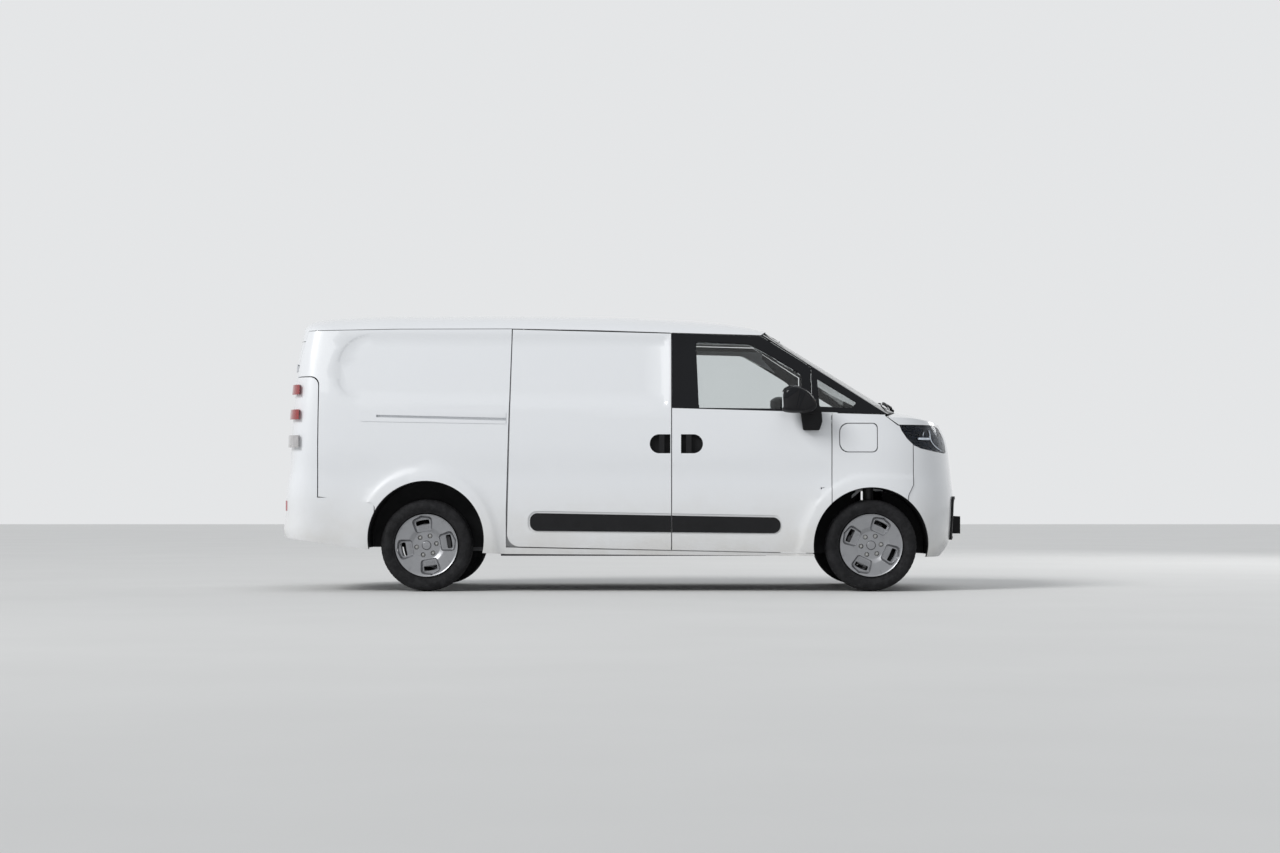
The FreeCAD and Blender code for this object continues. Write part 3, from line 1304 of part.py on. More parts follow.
def tyre(label, x, side):
    """A tyre on its rim, hollow, with a flat tread and rounded shoulders."""
    body = doc.addObject("PartDesign::Body", label)
    bead = size("rim_diameter") / 2 - 14 + size("seat_gap")
    half = size("tyre_width") / 2
    outer = [(bead, 60), (bead, 77), (bead + 17, 77), (bead + 24, 83), (bead + 38, 91), (bead + 62, half),
             (WHEEL_R - 26, half - 3), (WHEEL_R - 12, half - 11), (WHEEL_R - 4, half - 20), (WHEEL_R, half - 32)]
    inner = [(WHEEL_R - 13, half - 30), (bead + 60, half - 14), (bead + 18, 62)]
    loop = outer + [(r, -a) for r, a in reversed(outer)]
    loop += [(r, -a) for r, a in reversed(inner)] + inner
    profile = sketch(body, label + "_profile", "XY_Plane")
    outline(profile, loop)
    turned = body.newObject("PartDesign::Revolution", label + "_turned")
    turned.Profile = profile
    turned.ReferenceAxis = (profile, ["V_Axis"])
    turned.Angle = 360
    doc.recompute()
    return at_hub(body, x, side, 0)


def charge_flap(more=0):
    """The rounded outline of the charge flap."""
    x, z = FLAP_CENTRE
    half_long, half_tall = FLAP_HALF[0] + more, FLAP_HALF[1] + more
    corners = ((-1, -1, 62), (-1, 1, 62), (1, 1, 34), (1, -1, 34))
    zone = [(x + a * half_long, z + b * half_tall, round_by) for a, b, round_by in corners]
    return prism(zone)


# Every piece of the van.
door_pins, door_cuts = door_hinges()
bonnet_arm, bonnet_pin, bonnet_notch = bonnet_hinges()
rear_pins, rear_cuts = rear_hinges()
frame_side, frame_post = inner_frame()
roof = roof_panel().fuse(rear_header()).cut(roof_fixings())
piece("roof", roof)
side = body_side()
piece("body_side_right", side)
piece("body_side_left", mirrored(side))
slider = sliding_door().cut([strip_bed(STRIP_REAR, SLIDER_FRONT + 20), handle_pocket(SLIDER_HANDLE)])
piece("sliding_doors", both(slider))
piece("side_trim", both(Part.makeCompound([rub_strip(STRIP_REAR, SLIDER_FRONT), handle(SLIDER_HANDLE, SLIDER_GRIP)])))
panel = front_door().cut(door_cuts).cut([strip_bed(DOOR_REAR - 20, STRIP_FRONT), handle_pocket(DOOR_HANDLE)])
frame = door_frame()
pane = glass(WINDOW, 20, -0.3)
trim = Part.makeCompound([rub_strip(DOOR_REAR, STRIP_FRONT), handle(DOOR_HANDLE, DOOR_GRIP), mirror_body()])
for name, flip in (("right", False), ("left", True)):
    for label, shape in (("door_", panel), ("door_frame_", frame), ("door_glass_", pane), ("door_trim_", trim)):
        piece(label + name, mirrored(shape) if flip else shape)
piece("inner_frame", Part.makeCompound([frame_side, mirrored(frame_side), frame_post, mirrored(frame_post)]))
cab = cab_frame().cut([bonnet_notch, mirrored(bonnet_notch)]).fuse([bonnet_pin, mirrored(bonnet_pin)])
piece("cab_frame", cab)
piece("windscreen", windscreen())
piece("quarter_windows", both(glass(QUARTER, 14, -0.3)))
wing = fender()
flap_zone = charge_flap()
flap_pins, flap_cuts = flap_hinge()
flap = flap_zone.common(SKIN).cut(walls(14)).cut(flap_cuts)
right_wing = wing.cut(charge_flap(FLAP_GAP).cut(walls(46))).fuse(flap_pins)
piece("fender_right", right_wing)
piece("fender_left", mirrored(wing))
piece("charge_flap", flap)
piece("bonnet", bonnet().fuse([bonnet_arm, mirrored(bonnet_arm)]))
piece("front_bumper", front_bumper())
piece("lower_grille", lower_grille())
piece("headlamps", both(headlamp()))
piece("rear_bumper", rear_bumper())
piece("tail_lamps", tail_lamps())
back = rear_door().cut(rear_cuts)
piece("rear_door_right", back)
piece("rear_door_left", mirrored(back))
piece("platform", platform())
piece("bulkhead", bulkhead())
piece("arch_liners", arch_liners())
battery_pack()
drive_unit()
piece("front_suspension", front_suspension())
piece("rear_axle", rear_axle())
piece("seats", Part.makeCompound([seat(1), seat(-1)]))
seat_bases()
piece("dashboard", dashboard())
piece("steering_wheel", steering_wheel())
hub = knuckle()
piece("knuckle_right", hub)
piece("knuckle_left", mirrored(hub))
FRONT_TURN, REAR_TURN = 65, 10
first = wheel("wheel_front_left", 0, 1, FRONT_TURN)
copied_wheel("wheel_front_right", first, 0, -1, FRONT_TURN)
copied_wheel("wheel_rear_left", first, BASE, 1, REAR_TURN)
copied_wheel("wheel_rear_right", first, BASE, -1, REAR_TURN)
for label, x, hand in (("front_left", 0, 1), ("front_right", 0, -1), ("rear_left", BASE, 1), ("rear_right", BASE, -1)):
    tyre("tyre_" + label, x, hand)

doc.recompute()
for item in parts:
    if item.Shape.isNull() or not item.Shape.isValid():
        raise RuntimeError(f"{item.Label} has no valid shape")
    if "Invalid" in item.State or "Error" in item.State:
        raise RuntimeError(f"{item.Label} failed to build")

os.makedirs("parts", exist_ok=True)
for item in parts:
    item.Shape.exportStep(f"parts/{item.Label}.step")
    print(item.Label, len(item.Shape.Solids), round(item.Shape.Volume / 1e6, 2))
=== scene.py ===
import json
import math
import random

import bmesh
import bpy
from mathutils import Matrix, Vector
from mathutils.bvhtree import BVHTree

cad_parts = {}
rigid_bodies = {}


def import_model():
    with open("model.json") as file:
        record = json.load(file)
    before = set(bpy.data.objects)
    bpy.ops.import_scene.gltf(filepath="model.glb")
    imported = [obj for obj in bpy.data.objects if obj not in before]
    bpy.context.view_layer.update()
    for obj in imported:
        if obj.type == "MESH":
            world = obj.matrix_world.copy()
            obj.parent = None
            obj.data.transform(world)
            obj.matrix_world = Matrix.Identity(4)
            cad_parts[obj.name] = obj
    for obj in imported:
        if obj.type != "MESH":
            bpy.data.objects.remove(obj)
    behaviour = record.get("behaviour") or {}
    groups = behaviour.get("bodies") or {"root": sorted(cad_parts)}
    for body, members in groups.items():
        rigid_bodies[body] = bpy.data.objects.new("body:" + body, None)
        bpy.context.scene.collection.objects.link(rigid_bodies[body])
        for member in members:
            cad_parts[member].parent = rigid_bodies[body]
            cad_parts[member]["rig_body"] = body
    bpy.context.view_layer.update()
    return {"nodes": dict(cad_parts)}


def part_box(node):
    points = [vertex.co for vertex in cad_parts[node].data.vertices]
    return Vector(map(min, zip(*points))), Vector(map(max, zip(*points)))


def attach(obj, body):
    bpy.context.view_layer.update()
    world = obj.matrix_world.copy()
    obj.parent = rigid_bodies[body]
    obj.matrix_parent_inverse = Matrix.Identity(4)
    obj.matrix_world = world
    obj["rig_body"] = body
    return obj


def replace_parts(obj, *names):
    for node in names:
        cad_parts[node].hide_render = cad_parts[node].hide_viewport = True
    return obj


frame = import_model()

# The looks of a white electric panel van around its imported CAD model. Metres, +X to the nose, +Y to its left.

NODES = frame["nodes"]
random.seed(4)


def middle(node):
    low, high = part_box(node)
    return (low + high) / 2


FRONT = middle("tyre_front_right").x
SIDES = {"right": -1, "left": 1}


# Materials. Each one is a Principled shader with its grain, wear and colour change from object coordinates.
class Finish:
    """A node material under construction."""

    def __init__(self, name, colour, roughness, metallic=0.0, coat=0.0, coat_roughness=0.05):
        self.material = bpy.data.materials.new(name)
        self.material.use_nodes = True
        self.tree = self.material.node_tree
        self.shader = self.tree.nodes["Principled BSDF"]
        self.set(self.shader, "Base Color", (*colour, 1))
        self.set(self.shader, "Roughness", roughness)
        self.set(self.shader, "Metallic", metallic)
        self.set(self.shader, "Coat Weight", coat)
        self.set(self.shader, "Coat Roughness", coat_roughness)
        self.place = self.tree.nodes.new("ShaderNodeTexCoord").outputs["Object"]

    def set(self, node, socket, value):
        if isinstance(value, bpy.types.NodeSocket):
            self.tree.links.new(value, node.inputs[socket])
        else:
            node.inputs[socket].default_value = value

    def node(self, kind, settings=(), **sockets):
        made = self.tree.nodes.new(kind)
        for name, value in dict(settings).items():
            setattr(made, name, value)
        for name, value in sockets.items():
            self.set(made, name.replace("_", " "), value)
        return made

    def noise(self, scale, detail=3.0, roughness=0.5):
        return self.node("ShaderNodeTexNoise", Vector=self.place, Scale=scale, Detail=detail,
                         Roughness=roughness).outputs["Fac"]

    def cells(self, scale):
        return self.node("ShaderNodeTexVoronoi", Vector=self.place, Scale=scale).outputs["Distance"]

    def wave(self, scale, direction="X", distortion=0.0):
        return self.node("ShaderNodeTexWave", {"bands_direction": direction}, Vector=self.place,
                         Scale=scale, Distortion=distortion).outputs["Fac"]

    def maths(self, operation, a, b=0.0):
        made = self.tree.nodes.new("ShaderNodeMath")
        made.operation = operation
        self.set(made, 0, a)
        self.set(made, 1, b)
        return made.outputs[0]

    def blend(self, factor, low, high):
        """A colour between two, by a factor from a texture."""
        made = self.tree.nodes.new("ShaderNodeMix")
        made.data_type = "RGBA"
        self.set(made, 0, factor)
        made.inputs[6].default_value = (*low, 1)
        made.inputs[7].default_value = (*high, 1)
        return made.outputs[2]

    def between(self, source, low, high, out_low=0.0, out_high=1.0):
        return self.node("ShaderNodeMapRange", Value=source, From_Min=low, From_Max=high, To_Min=out_low,
                         To_Max=out_high).outputs[0]

    def height(self):
        return self.node("ShaderNodeSeparateXYZ", Vector=self.place).outputs["Z"]

    def colour(self, socket):
        self.set(self.shader, "Base Color", socket)
        return self

    def rough(self, source, low, high):
        self.set(self.shader, "Roughness", self.between(source, 0.3, 0.7, low, high))
        return self

    def bump(self, source, strength, distance):
        """Adds one bump on top of those that are there."""
        made = self.node("ShaderNodeBump", Height=source, Strength=strength, Distance=distance)
        before = self.shader.inputs["Normal"].links
        if before:
            self.tree.links.new(before[0].from_socket, made.inputs["Normal"])
        self.tree.links.new(made.outputs["Normal"], self.shader.inputs["Normal"])
        return self


def paint(name, colour, dusty):
    made = Finish(name, colour, 0.32, coat=1.0, coat_roughness=0.04)
    low = made.between(made.height(), 0.25, 0.75, 1.0, 0.0)
    haze = made.maths("MULTIPLY", low, made.noise(6, 5, 0.65))
    made.colour(made.blend(haze, colour, dusty))
    made.rough(made.noise(2.5, 4, 0.6), 0.28, 0.36)
    return made.bump(made.noise(260, 2, 0.4), 0.02, 0.0004).material


def plastic(name, colour, roughness, grain=900, strength=0.25):
    made = Finish(name, colour, roughness)
    made.set(made.shader, "Specular IOR Level", 0.14)
    lighter = tuple(min(1, c * 1.35 + 0.004) for c in colour)
    made.colour(made.blend(made.noise(9, 5, 0.6), colour, lighter))
    made.rough(made.noise(30, 4, 0.6), roughness - 0.06, roughness + 0.08)
    return made.bump(made.cells(grain), strength, 0.0004).material


def gloss(name, colour, roughness=0.08):
    made = Finish(name, colour, roughness, coat=0.04)
    made.set(made.shader, "Specular IOR Level", 0.16)
    made.rough(made.noise(3, 5, 0.6), roughness * 0.7, roughness * 1.5)
    made.colour(made.blend(made.noise(4, 3), colour, tuple(c * 1.3 + 0.002 for c in colour)))
    return made.bump(made.noise(180, 2), 0.012, 0.0003).material


def metal(name, colour, roughness, grain=320, strength=0.12, metallic=1.0):
    made = Finish(name, colour, roughness, metallic)
    darker = tuple(c * 0.78 for c in colour)
    made.colour(made.blend(made.noise(14, 6, 0.65), darker, colour))
    made.rough(made.noise(40, 5, 0.6), roughness - 0.07, roughness + 0.09)
    return made.bump(made.noise(grain, 4, 0.6), strength, 0.0005).material


def glazing(name, tint, roughness=0.0, ior=1.4):
    made = Finish(name, tint, roughness)
    made.set(made.shader, "Transmission Weight", 1.0)
    made.set(made.shader, "IOR", ior)
    made.colour(made.blend(made.noise(3, 2), tuple(c * 0.97 for c in tint), tint))
    made.rough(made.noise(5, 3), 0.0, 0.02)
    return made.material


def rubber(name, colour, roughness=0.75):
    made = Finish(name, colour, roughness)
    made.set(made.shader, "Specular IOR Level", 0.18)
    dusty = tuple(c * 1.7 + 0.01 for c in colour)
    made.colour(made.blend(made.between(made.noise(22, 6, 0.7), 0.42, 0.75), colour, dusty))
    made.rough(made.noise(50, 4), roughness - 0.08, roughness + 0.1)
    return made.bump(made.noise(700, 3), 0.2, 0.0006).material


def cloth(name, colour, pitch=420.0):
    made = Finish(name, colour, 0.9)
    made.set(made.shader, "Sheen Weight", 0.25)
    warp = made.wave(pitch, "X", 0.6)
    weft = made.wave(pitch, "DIAGONAL", 0.6)
    weave = made.maths("MULTIPLY", warp, weft)
    made.colour(made.blend(weave, tuple(c * 0.6 for c in colour), tuple(c * 1.5 for c in colour)))
    return made.bump(weave, 0.5, 0.0006).material


def lens(name, tint, transmission=0.75, roughness=0.03):
    made = Finish(name, tint, roughness, coat=1.0)
    made.set(made.shader, "Transmission Weight", transmission)
    made.set(made.shader, "IOR", 1.5)
    ribs = made.wave(160, "Z", 0.0)
    made.colour(made.blend(made.noise(30, 3), tuple(c * 0.85 for c in tint), tint))
    return made.bump(ribs, 0.15, 0.0006).material


WHITE = paint("body_white", (0.765, 0.78, 0.80), (0.60, 0.58, 0.54))
BLACK_GLOSS = gloss("gloss_black", (0.005, 0.0055, 0.007))
LAMP_BOWL = gloss("lamp_bowl", (0.003, 0.005, 0.010), 0.35)
BLACK_PLASTIC = plastic("grained_black", (0.010, 0.010, 0.011), 0.55)
GLASS = glazing("window_glass", (0.84, 0.865, 0.865))
LENS_CLEAR = glazing("lamp_glass", (0.90, 0.93, 0.97), 0.0, 1.16)
LENS_RED = lens("red_lens", (0.42, 0.012, 0.014), 0.35)
LENS_WHITE = lens("white_lens", (0.72, 0.70, 0.70), 0.5)
RUBBER = rubber("tyre_rubber", (0.010, 0.010, 0.011))
SEAL = rubber("seal_rubber", (0.012, 0.012, 0.013), 0.6)
SILVER = metal("silver_rim", (0.34, 0.345, 0.36), 0.36, 500, 0.05, 0.75)
STEEL = metal("bright_steel", (0.55, 0.55, 0.54), 0.3)
CAST = metal("cast_iron", (0.11, 0.11, 0.115), 0.55, 240, 0.5, 0.7)
CASTING = metal("cast_aluminium", (0.42, 0.43, 0.44), 0.5, 260, 0.45, 0.8)
PRIMER = paint("inner_primer", (0.62, 0.63, 0.65), (0.45, 0.44, 0.42))
CABIN = plastic("cabin_moulding", (0.045, 0.045, 0.048), 0.62, 700, 0.35)
FABRIC = cloth("seat_cloth", (0.045, 0.046, 0.05))
CASING = metal("battery_casing", (0.12, 0.12, 0.13), 0.5, 200, 0.4, 0.6)

# The light bar is a real strip in the lamp; its bright white colour is a painted highlight standing in for a glint of
# sun.
LIGHT_BAR_GLINT = paint("light_bar_painted_glint", (0.86, 0.88, 0.90), (0.8, 0.82, 0.84))
CHROME = metal("chrome_trim", (0.72, 0.73, 0.75), 0.14, 500, 0.02)
MIRROR = metal("mirror_silver", (0.82, 0.84, 0.86), 0.03, 60, 0.0)
AMBER = lens("amber_lens", (0.62, 0.20, 0.02), 0.35)
LENS_PINK = lens("reflector_lens", (0.62, 0.16, 0.17), 0.3)
PLATE = paint("plate_white", (0.74, 0.74, 0.73), (0.6, 0.58, 0.54))
CABIN_DARK = plastic("cabin_black", (0.018, 0.018, 0.020), 0.5, 800, 0.25)
LINING_PALE = plastic("pale_lining", (0.36, 0.36, 0.35), 0.85, 900, 0.3)

FINISHES = {
    WHITE: ["roof", "body_side_right", "body_side_left", "sliding_doors", "door_right", "door_left",
            "fender_right", "fender_left", "charge_flap", "bonnet", "front_bumper", "rear_bumper",
            "rear_door_right", "rear_door_left"],
    BLACK_GLOSS: ["door_frame_right", "door_frame_left", "cab_frame"],
    BLACK_PLASTIC: ["side_trim", "door_trim_right", "door_trim_left", "lower_grille", "arch_liners"],
    GLASS: ["door_glass_right", "door_glass_left", "windscreen", "quarter_windows"],
    PRIMER: ["inner_frame", "bulkhead", "platform"],
    CASING: ["battery_pack"],
    CASTING: ["drive_unit"],
    CAST: ["front_suspension", "rear_axle", "knuckle_right", "knuckle_left"],
    FABRIC: ["seats"],
    CABIN: ["seat_bases", "dashboard", "steering_wheel"],
    SILVER: ["wheel_front_left", "wheel_front_right", "wheel_rear_left", "wheel_rear_right"],
    RUBBER: ["tyre_front_left", "tyre_front_right", "tyre_rear_left", "tyre_rear_right"],
    LENS_CLEAR: ["headlamps"],
    LENS_RED: ["tail_lamps"],
}


def smoothing(angle):
    """A modifier that welds a CAD mesh and shades it smooth, but keeps its real edges sharp."""
    group = bpy.data.node_groups.new("SmoothByAngle", "GeometryNodeTree")
    group.interface.new_socket("Mesh", in_out="INPUT", socket_type="NodeSocketGeometry")
    group.interface.new_socket("Mesh", in_out="OUTPUT", socket_type="NodeSocketGeometry")
    start = group.nodes.new("NodeGroupInput")
    end = group.nodes.new("NodeGroupOutput")
    weld = group.nodes.new("GeometryNodeMergeByDistance")
    weld.inputs["Distance"].default_value = 0.00002
    soft = group.nodes.new("GeometryNodeSetShadeSmooth")
    sharp = group.nodes.new("GeometryNodeSetShadeSmooth")
    sharp.domain = "EDGE"
    sharp.inputs["Shade Smooth"].default_value = False
    bend = group.nodes.new("GeometryNodeInputMeshEdgeAngle")
    over = group.nodes.new("FunctionNodeCompare")
    over.data_type = "FLOAT"
    over.operation = "GREATER_THAN"
    over.inputs["B"].default_value = math.radians(angle)
    link = group.links.new
    link(start.outputs[0], weld.inputs["Geometry"])
    link(weld.outputs[0], soft.inputs["Geometry"])
    link(soft.outputs[0], sharp.inputs["Geometry"])
    link(bend.outputs["Unsigned Angle"], over.inputs["A"])
    link(over.outputs[0], sharp.inputs["Selection"])
    link(sharp.outputs[0], end.inputs[0])
    return group


SMOOTH = smoothing(32)


def smooth(obj):
    modifier = obj.modifiers.new("Smooth", "NODES")
    modifier.node_group = SMOOTH
    return obj


for material, names in FINISHES.items():
    for name in names:
        node = NODES[name]
        node.data.materials.clear()
        node.data.materials.append(material)
        smooth(node)


# Meshes. Every one is built in the row frame, with its object at the origin.
def mesh_piece(name, built, material, body, soft=True):
    data = bpy.data.meshes.new(name)
    built.to_mesh(data)
    built.free()
    obj = bpy.data.objects.new(name, data)
    bpy.context.scene.collection.objects.link(obj)
    data.materials.append(material)
    if soft:
        smooth(obj)
    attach(obj, body)
    return obj


def centre_of(outline):
    return [sum(p[i] for p in outline) / len(outline) for i in range(2)]


def ring_surface(built, rings, closed_along=False, closed_round=True):
    """Joins rows of points into a grid of faces."""
    rows = [[built.verts.new(p) for p in ring] for ring in rings]
    for a, b in zip(rows, rows[1:] + ([rows[0]] if closed_along else [])):
        count = len(a)
        for i in range(count if closed_round else count - 1):
            j = (i + 1) % count
            built.faces.new((a[i], a[j], b[j], b[i]))
    return rows


def solid_of_rings(built, rings):
    """A closed solid through rings, with its first and last ring filled."""
    rows = ring_surface(built, rings)
    built.faces.new(list(reversed(rows[0])))
    built.faces.new(rows[-1])


# Tyres, with four grooves round and blocks cut across the shoulders.
TREAD_STEPS = 216
BLOCKS = 54
SIDEWALL = [(0.2225, 0.0700), (0.2240, 0.0790), (0.2290, 0.0835), (0.2330, 0.0830), (0.2360, 0.0845), (0.2450, 0.0905),
            (0.2560, 0.0950), (0.2680, 0.0970), (0.2690, 0.0962), (0.2720, 0.0963), (0.2730, 0.0970),
            (0.2850, 0.0960), (0.2960, 0.0925), (0.3040, 0.0875), (0.3100, 0.0810)]
TREAD = [(0.3145, 0.0740, 1), (0.3165, 0.0680, 1), (0.3178, 0.0600, 1), (0.3182, 0.0530, 1), (0.3183, 0.0515, 2),
         (0.3183, 0.0445, 2), (0.3184, 0.0430, 0), (0.3192, 0.0300, 3), (0.3196, 0.0195, 0), (0.3196, 0.0180, 2),
         (0.3196, 0.0100, 2), (0.3197, 0.0085, 0), (0.3200, 0.0000, 3)]
GROOVE_DEPTH = 0.0075


def tyre(name, node):
    centre = middle(node)
    profile = [(r, w, 0) for r, w in SIDEWALL] + TREAD
    profile += [(r, -w, kind) for r, w, kind in reversed(profile[:-1])]
    rings = []
    for step in range(TREAD_STEPS):
        turn = 2 * math.pi * step / TREAD_STEPS
        ring = []
        phase = (step * BLOCKS / TREAD_STEPS) % 1
        for r, w, kind in profile:
            depth = 0.0
            if kind == 2:
                depth = GROOVE_DEPTH
            if kind == 1 and phase < 0.24:
                depth = GROOVE_DEPTH * 0.8
            if kind == 3 and phase < 0.24:
                depth = GROOVE_DEPTH * 0.35
            skew = w * 1.2 if kind == 1 else 0
            reach = r - depth
            ring.append(centre + Vector((reach * math.sin(turn + skew), w, reach * math.cos(turn + skew))))
        rings.append(ring)
    built = bmesh.new()
    rows = ring_surface(built, rings, True, False)
    for a, b in zip(rows, rows[1:] + rows[:1]):
        built.faces.new((a[-1], a[0], b[0], b[-1]))
    bmesh.ops.recalc_face_normals(built, faces=built.faces)
    obj = mesh_piece(name, built, RUBBER, NODES[node]["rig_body"])
    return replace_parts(obj, node)


for corner in ("front_left", "front_right", "rear_left", "rear_right"):
    tyre("tread_" + corner, "tyre_" + corner)


# Mesh helpers.
def add_tube(built, path, radius, sides=12):
    """A round bar along points, with one radius or one for each point."""
    path = [Vector(p) for p in path]
    radii = radius if isinstance(radius, (list, tuple)) else [radius] * len(path)
    up = None
    rings = []
    for i, spot in enumerate(path):
        ahead = (path[min(i + 1, len(path) - 1)] - path[max(i - 1, 0)]).normalized()
        up = ahead.orthogonal().normalized() if up is None else (up - ahead * up.dot(ahead)).normalized()
        side = ahead.cross(up)
        turns = [2 * math.pi * k / sides for k in range(sides)]
        rings.append([spot + (up * math.cos(t) + side * math.sin(t)) * radii[i] for t in turns])
    solid_of_rings(built, rings)


def add_lathe(built, profile, centre, axis, sides=40, closed=True):
    """Turns (radius, distance along) points round an axis through a centre."""
    axis = Vector(axis).normalized()
    up = axis.orthogonal().normalized()
    side = axis.cross(up)
    rings = []
    for k in range(sides):
        turn = 2 * math.pi * k / sides
        out = up * math.cos(turn) + side * math.sin(turn)
        rings.append([Vector(centre) + out * max(r, 0.00001) + axis * a for r, a in profile])
    rows = ring_surface(built, rings, True, False)
    if closed:
        for a, b in zip(rows, rows[1:] + rows[:1]):
            built.faces.new((a[-1], a[0], b[0], b[-1]))


def add_block(built, low, high, bevel=0.003, turn=None, about=None, steps=2):
    """A block with rounded edges between two corners, turned about a point if asked."""
    low, high = Vector(low), Vector(high)
    made = bmesh.ops.create_cube(built, size=1)["verts"]
    for vert in made:
        vert.co = Vector([(low[i] + high[i]) / 2 + vert.co[i] * abs(high[i] - low[i]) for i in range(3)])
    if bevel:
        edges = {e for v in made for e in v.link_edges}
        made = bmesh.ops.bevel(built, geom=list(edges), offset=bevel, segments=steps, affect="EDGES",
                               profile=0.5)["verts"] + [v for v in made if v.is_valid]
    if turn is not None:
        spot = Vector(about) if about is not None else (low + high) / 2
        for vert in {v for v in made if v.is_valid}:
            vert.co = spot + turn @ (vert.co - spot)


def block_at(built, spot, low, high, bevel=0.003, turn=None, about=None, steps=2):
    """A block between two offsets from a spot."""
    add_block(built, spot + Vector(low), spot + Vector(high), bevel, turn, about, steps)


def rounded(points, radius, steps=4):
    """A flat outline with its corners rounded."""
    found = []
    count = len(points)
    for i, (x, y) in enumerate(points):
        here = Vector((x, y))
        back = Vector(points[i - 1]) - here
        on = Vector(points[(i + 1) % count]) - here
        reach = min(radius, back.length * 0.45, on.length * 0.45)
        a, b = here + back.normalized() * reach, here + on.normalized() * reach
        for k in range(steps + 1):
            t = k / steps
            found.append(tuple(a * (1 - t) ** 2 + here * 2 * t * (1 - t) + b * t * t))
    return found


def rounded_box(wide, high, radius, steps=4):
    """A rectangle about the middle, given by its half width and half height, with rounded corners."""
    return rounded([(-wide, -high), (wide, -high), (wide, high), (-wide, high)], radius, steps)


def add_plate(built, outline, place, depth, edge=0.0015):
    """A flat plate: its outline put in space by a function of (a, b, height), with a chamfered front edge."""
    middle_a, middle_b = centre_of(outline)

    def shrunk(a, b):
        gone = math.hypot(a - middle_a, b - middle_b)
        share = max(0.0, 1 - edge / max(gone, 1e-6))
        return middle_a + (a - middle_a) * share, middle_b + (b - middle_b) * share

    rings = [[place(a, b, 0) for a, b in outline], [place(a, b, depth - edge) for a, b in outline],
             [place(*shrunk(a, b), depth) for a, b in outline]]
    solid_of_rings(built, rings)


def add_skin(built, grid, depth):
    """A sheet through a grid of (point, outward normal), with its back so far behind."""
    front = [[built.verts.new(p) for p, _ in row] for row in grid]
    back = [[built.verts.new(p - n * depth) for p, n in row] for row in grid]
    high, wide = len(grid), len(grid[0])
    for j in range(high - 1):
        for i in range(wide - 1):
            built.faces.new((front[j][i], front[j][i + 1], front[j + 1][i + 1], front[j + 1][i]))
            built.faces.new((back[j][i], back[j + 1][i], back[j + 1][i + 1], back[j][i + 1]))
    rim = [(0, i) for i in range(wide)] + [(j, wide - 1) for j in range(1, high)]
    rim += [(high - 1, i) for i in range(wide - 2, -1, -1)] + [(j, 0) for j in range(high - 2, 0, -1)]
    for (j, i), (m, n) in zip(rim, rim[1:] + rim[:1]):
        built.faces.new((front[j][i], back[j][i], back[m][n], front[m][n]))


def close(built):
    bmesh.ops.remove_doubles(built, verts=built.verts, dist=0.000005)
    bmesh.ops.dissolve_degenerate(built, edges=built.edges, dist=0.000005)
    bmesh.ops.recalc_face_normals(built, faces=built.faces)
    return built


def across(built):
    """The same mesh on the other side of the van."""
    other = built.copy()
    for vert in other.verts:
        vert.co.y = -vert.co.y
    bmesh.ops.reverse_faces(other, faces=other.faces)
    return other


def pair(name, build, material, bodies=("root", "root"), instead=()):
    """A piece on the right side and its mirror on the left."""
    built = close(build())
    made = []
    for side, body, mesh in (("right", bodies[0], built), ("left", bodies[1], across(built))):
        made.append(mesh_piece(f"{name}_{side}", mesh, material, body))
        for node in instead:
            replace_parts(made[-1], node)
    return made


def single(name, build, material, body="root"):
    return mesh_piece(name, close(build()), material, body)


def surface(*names):
    """A tree of the faces of CAD nodes, to find places on their skins."""
    points, faces = [], []
    for name in names:
        start = len(points)
        points += [v.co.copy() for v in NODES[name].data.vertices]
        faces += [[start + i for i in p.vertices] for p in NODES[name].data.polygons]
    return BVHTree.FromPolygons(points, faces)


def onto(tree, start, direction, fallback=None):
    """The first place on a surface from a point, with its outward normal."""
    direction = Vector(direction).normalized()
    place, normal, _, _ = tree.ray_cast(Vector(start), direction)
    if place is None:
        return fallback
    return place, (normal if normal.dot(direction) < 0 else -normal)


def kept_faces(node, test):
    """A copy of the faces of a CAD node that pass a test on their middle and normal."""
    built = bmesh.new()
    built.from_mesh(NODES[node].data)
    bmesh.ops.remove_doubles(built, verts=built.verts, dist=0.00002)
    built.normal_update()
    gone = [f for f in built.faces if not test(f.calc_center_median(), f.normal)]
    bmesh.ops.delete(built, geom=gone, context="FACES")
    return built


def thicken(built, depth):
    bmesh.ops.solidify(built, geom=built.faces[:], thickness=depth)
    return built


HALF_WIDTH = 0.937
OUT = 1.4


# Headlamps: a clear shell over a black bowl with a light bar whose bright white is a painted highlight of sun glint, a
# projector and a bright trim line.
LAMP_SKIN = surface("headlamps")


def lamp_spot(x, z, inset):
    """A place behind the shell of the right headlamp."""
    place, normal = onto(LAMP_SKIN, (FRONT + x, -OUT, z), (0, 1, 0), (Vector((FRONT + x, -0.5, z)), Vector((0, -1, 0))))
    return place - normal * inset, normal


def is_shell(spot, normal):
    return spot.y < 0 and normal.y < -0.06


def lamp_shell():
    return thicken(kept_faces("headlamps", is_shell), 0.003)


def lamp_bowl():
    built = kept_faces("headlamps", is_shell)
    for vert in built.verts:
        vert.co.y += 0.034
    rim = [e for e in built.edges if e.is_boundary]
    walls = bmesh.ops.extrude_edge_only(built, edges=rim)["geom"]
    for vert in (g for g in walls if isinstance(g, bmesh.types.BMVert)):
        vert.co.y -= 0.028
    return built


def lamp_ribs():
    """Fine shelves across the dark bowl."""
    built = bmesh.new()
    for i in range(5):
        z = 1.138 - i * 0.011
        path = [lamp_spot(0.235 + i * 0.004 + k * 0.02, z, 0.024)[0] for k in range(9)]
        add_tube(built, path, 0.0022, 6)
    return built
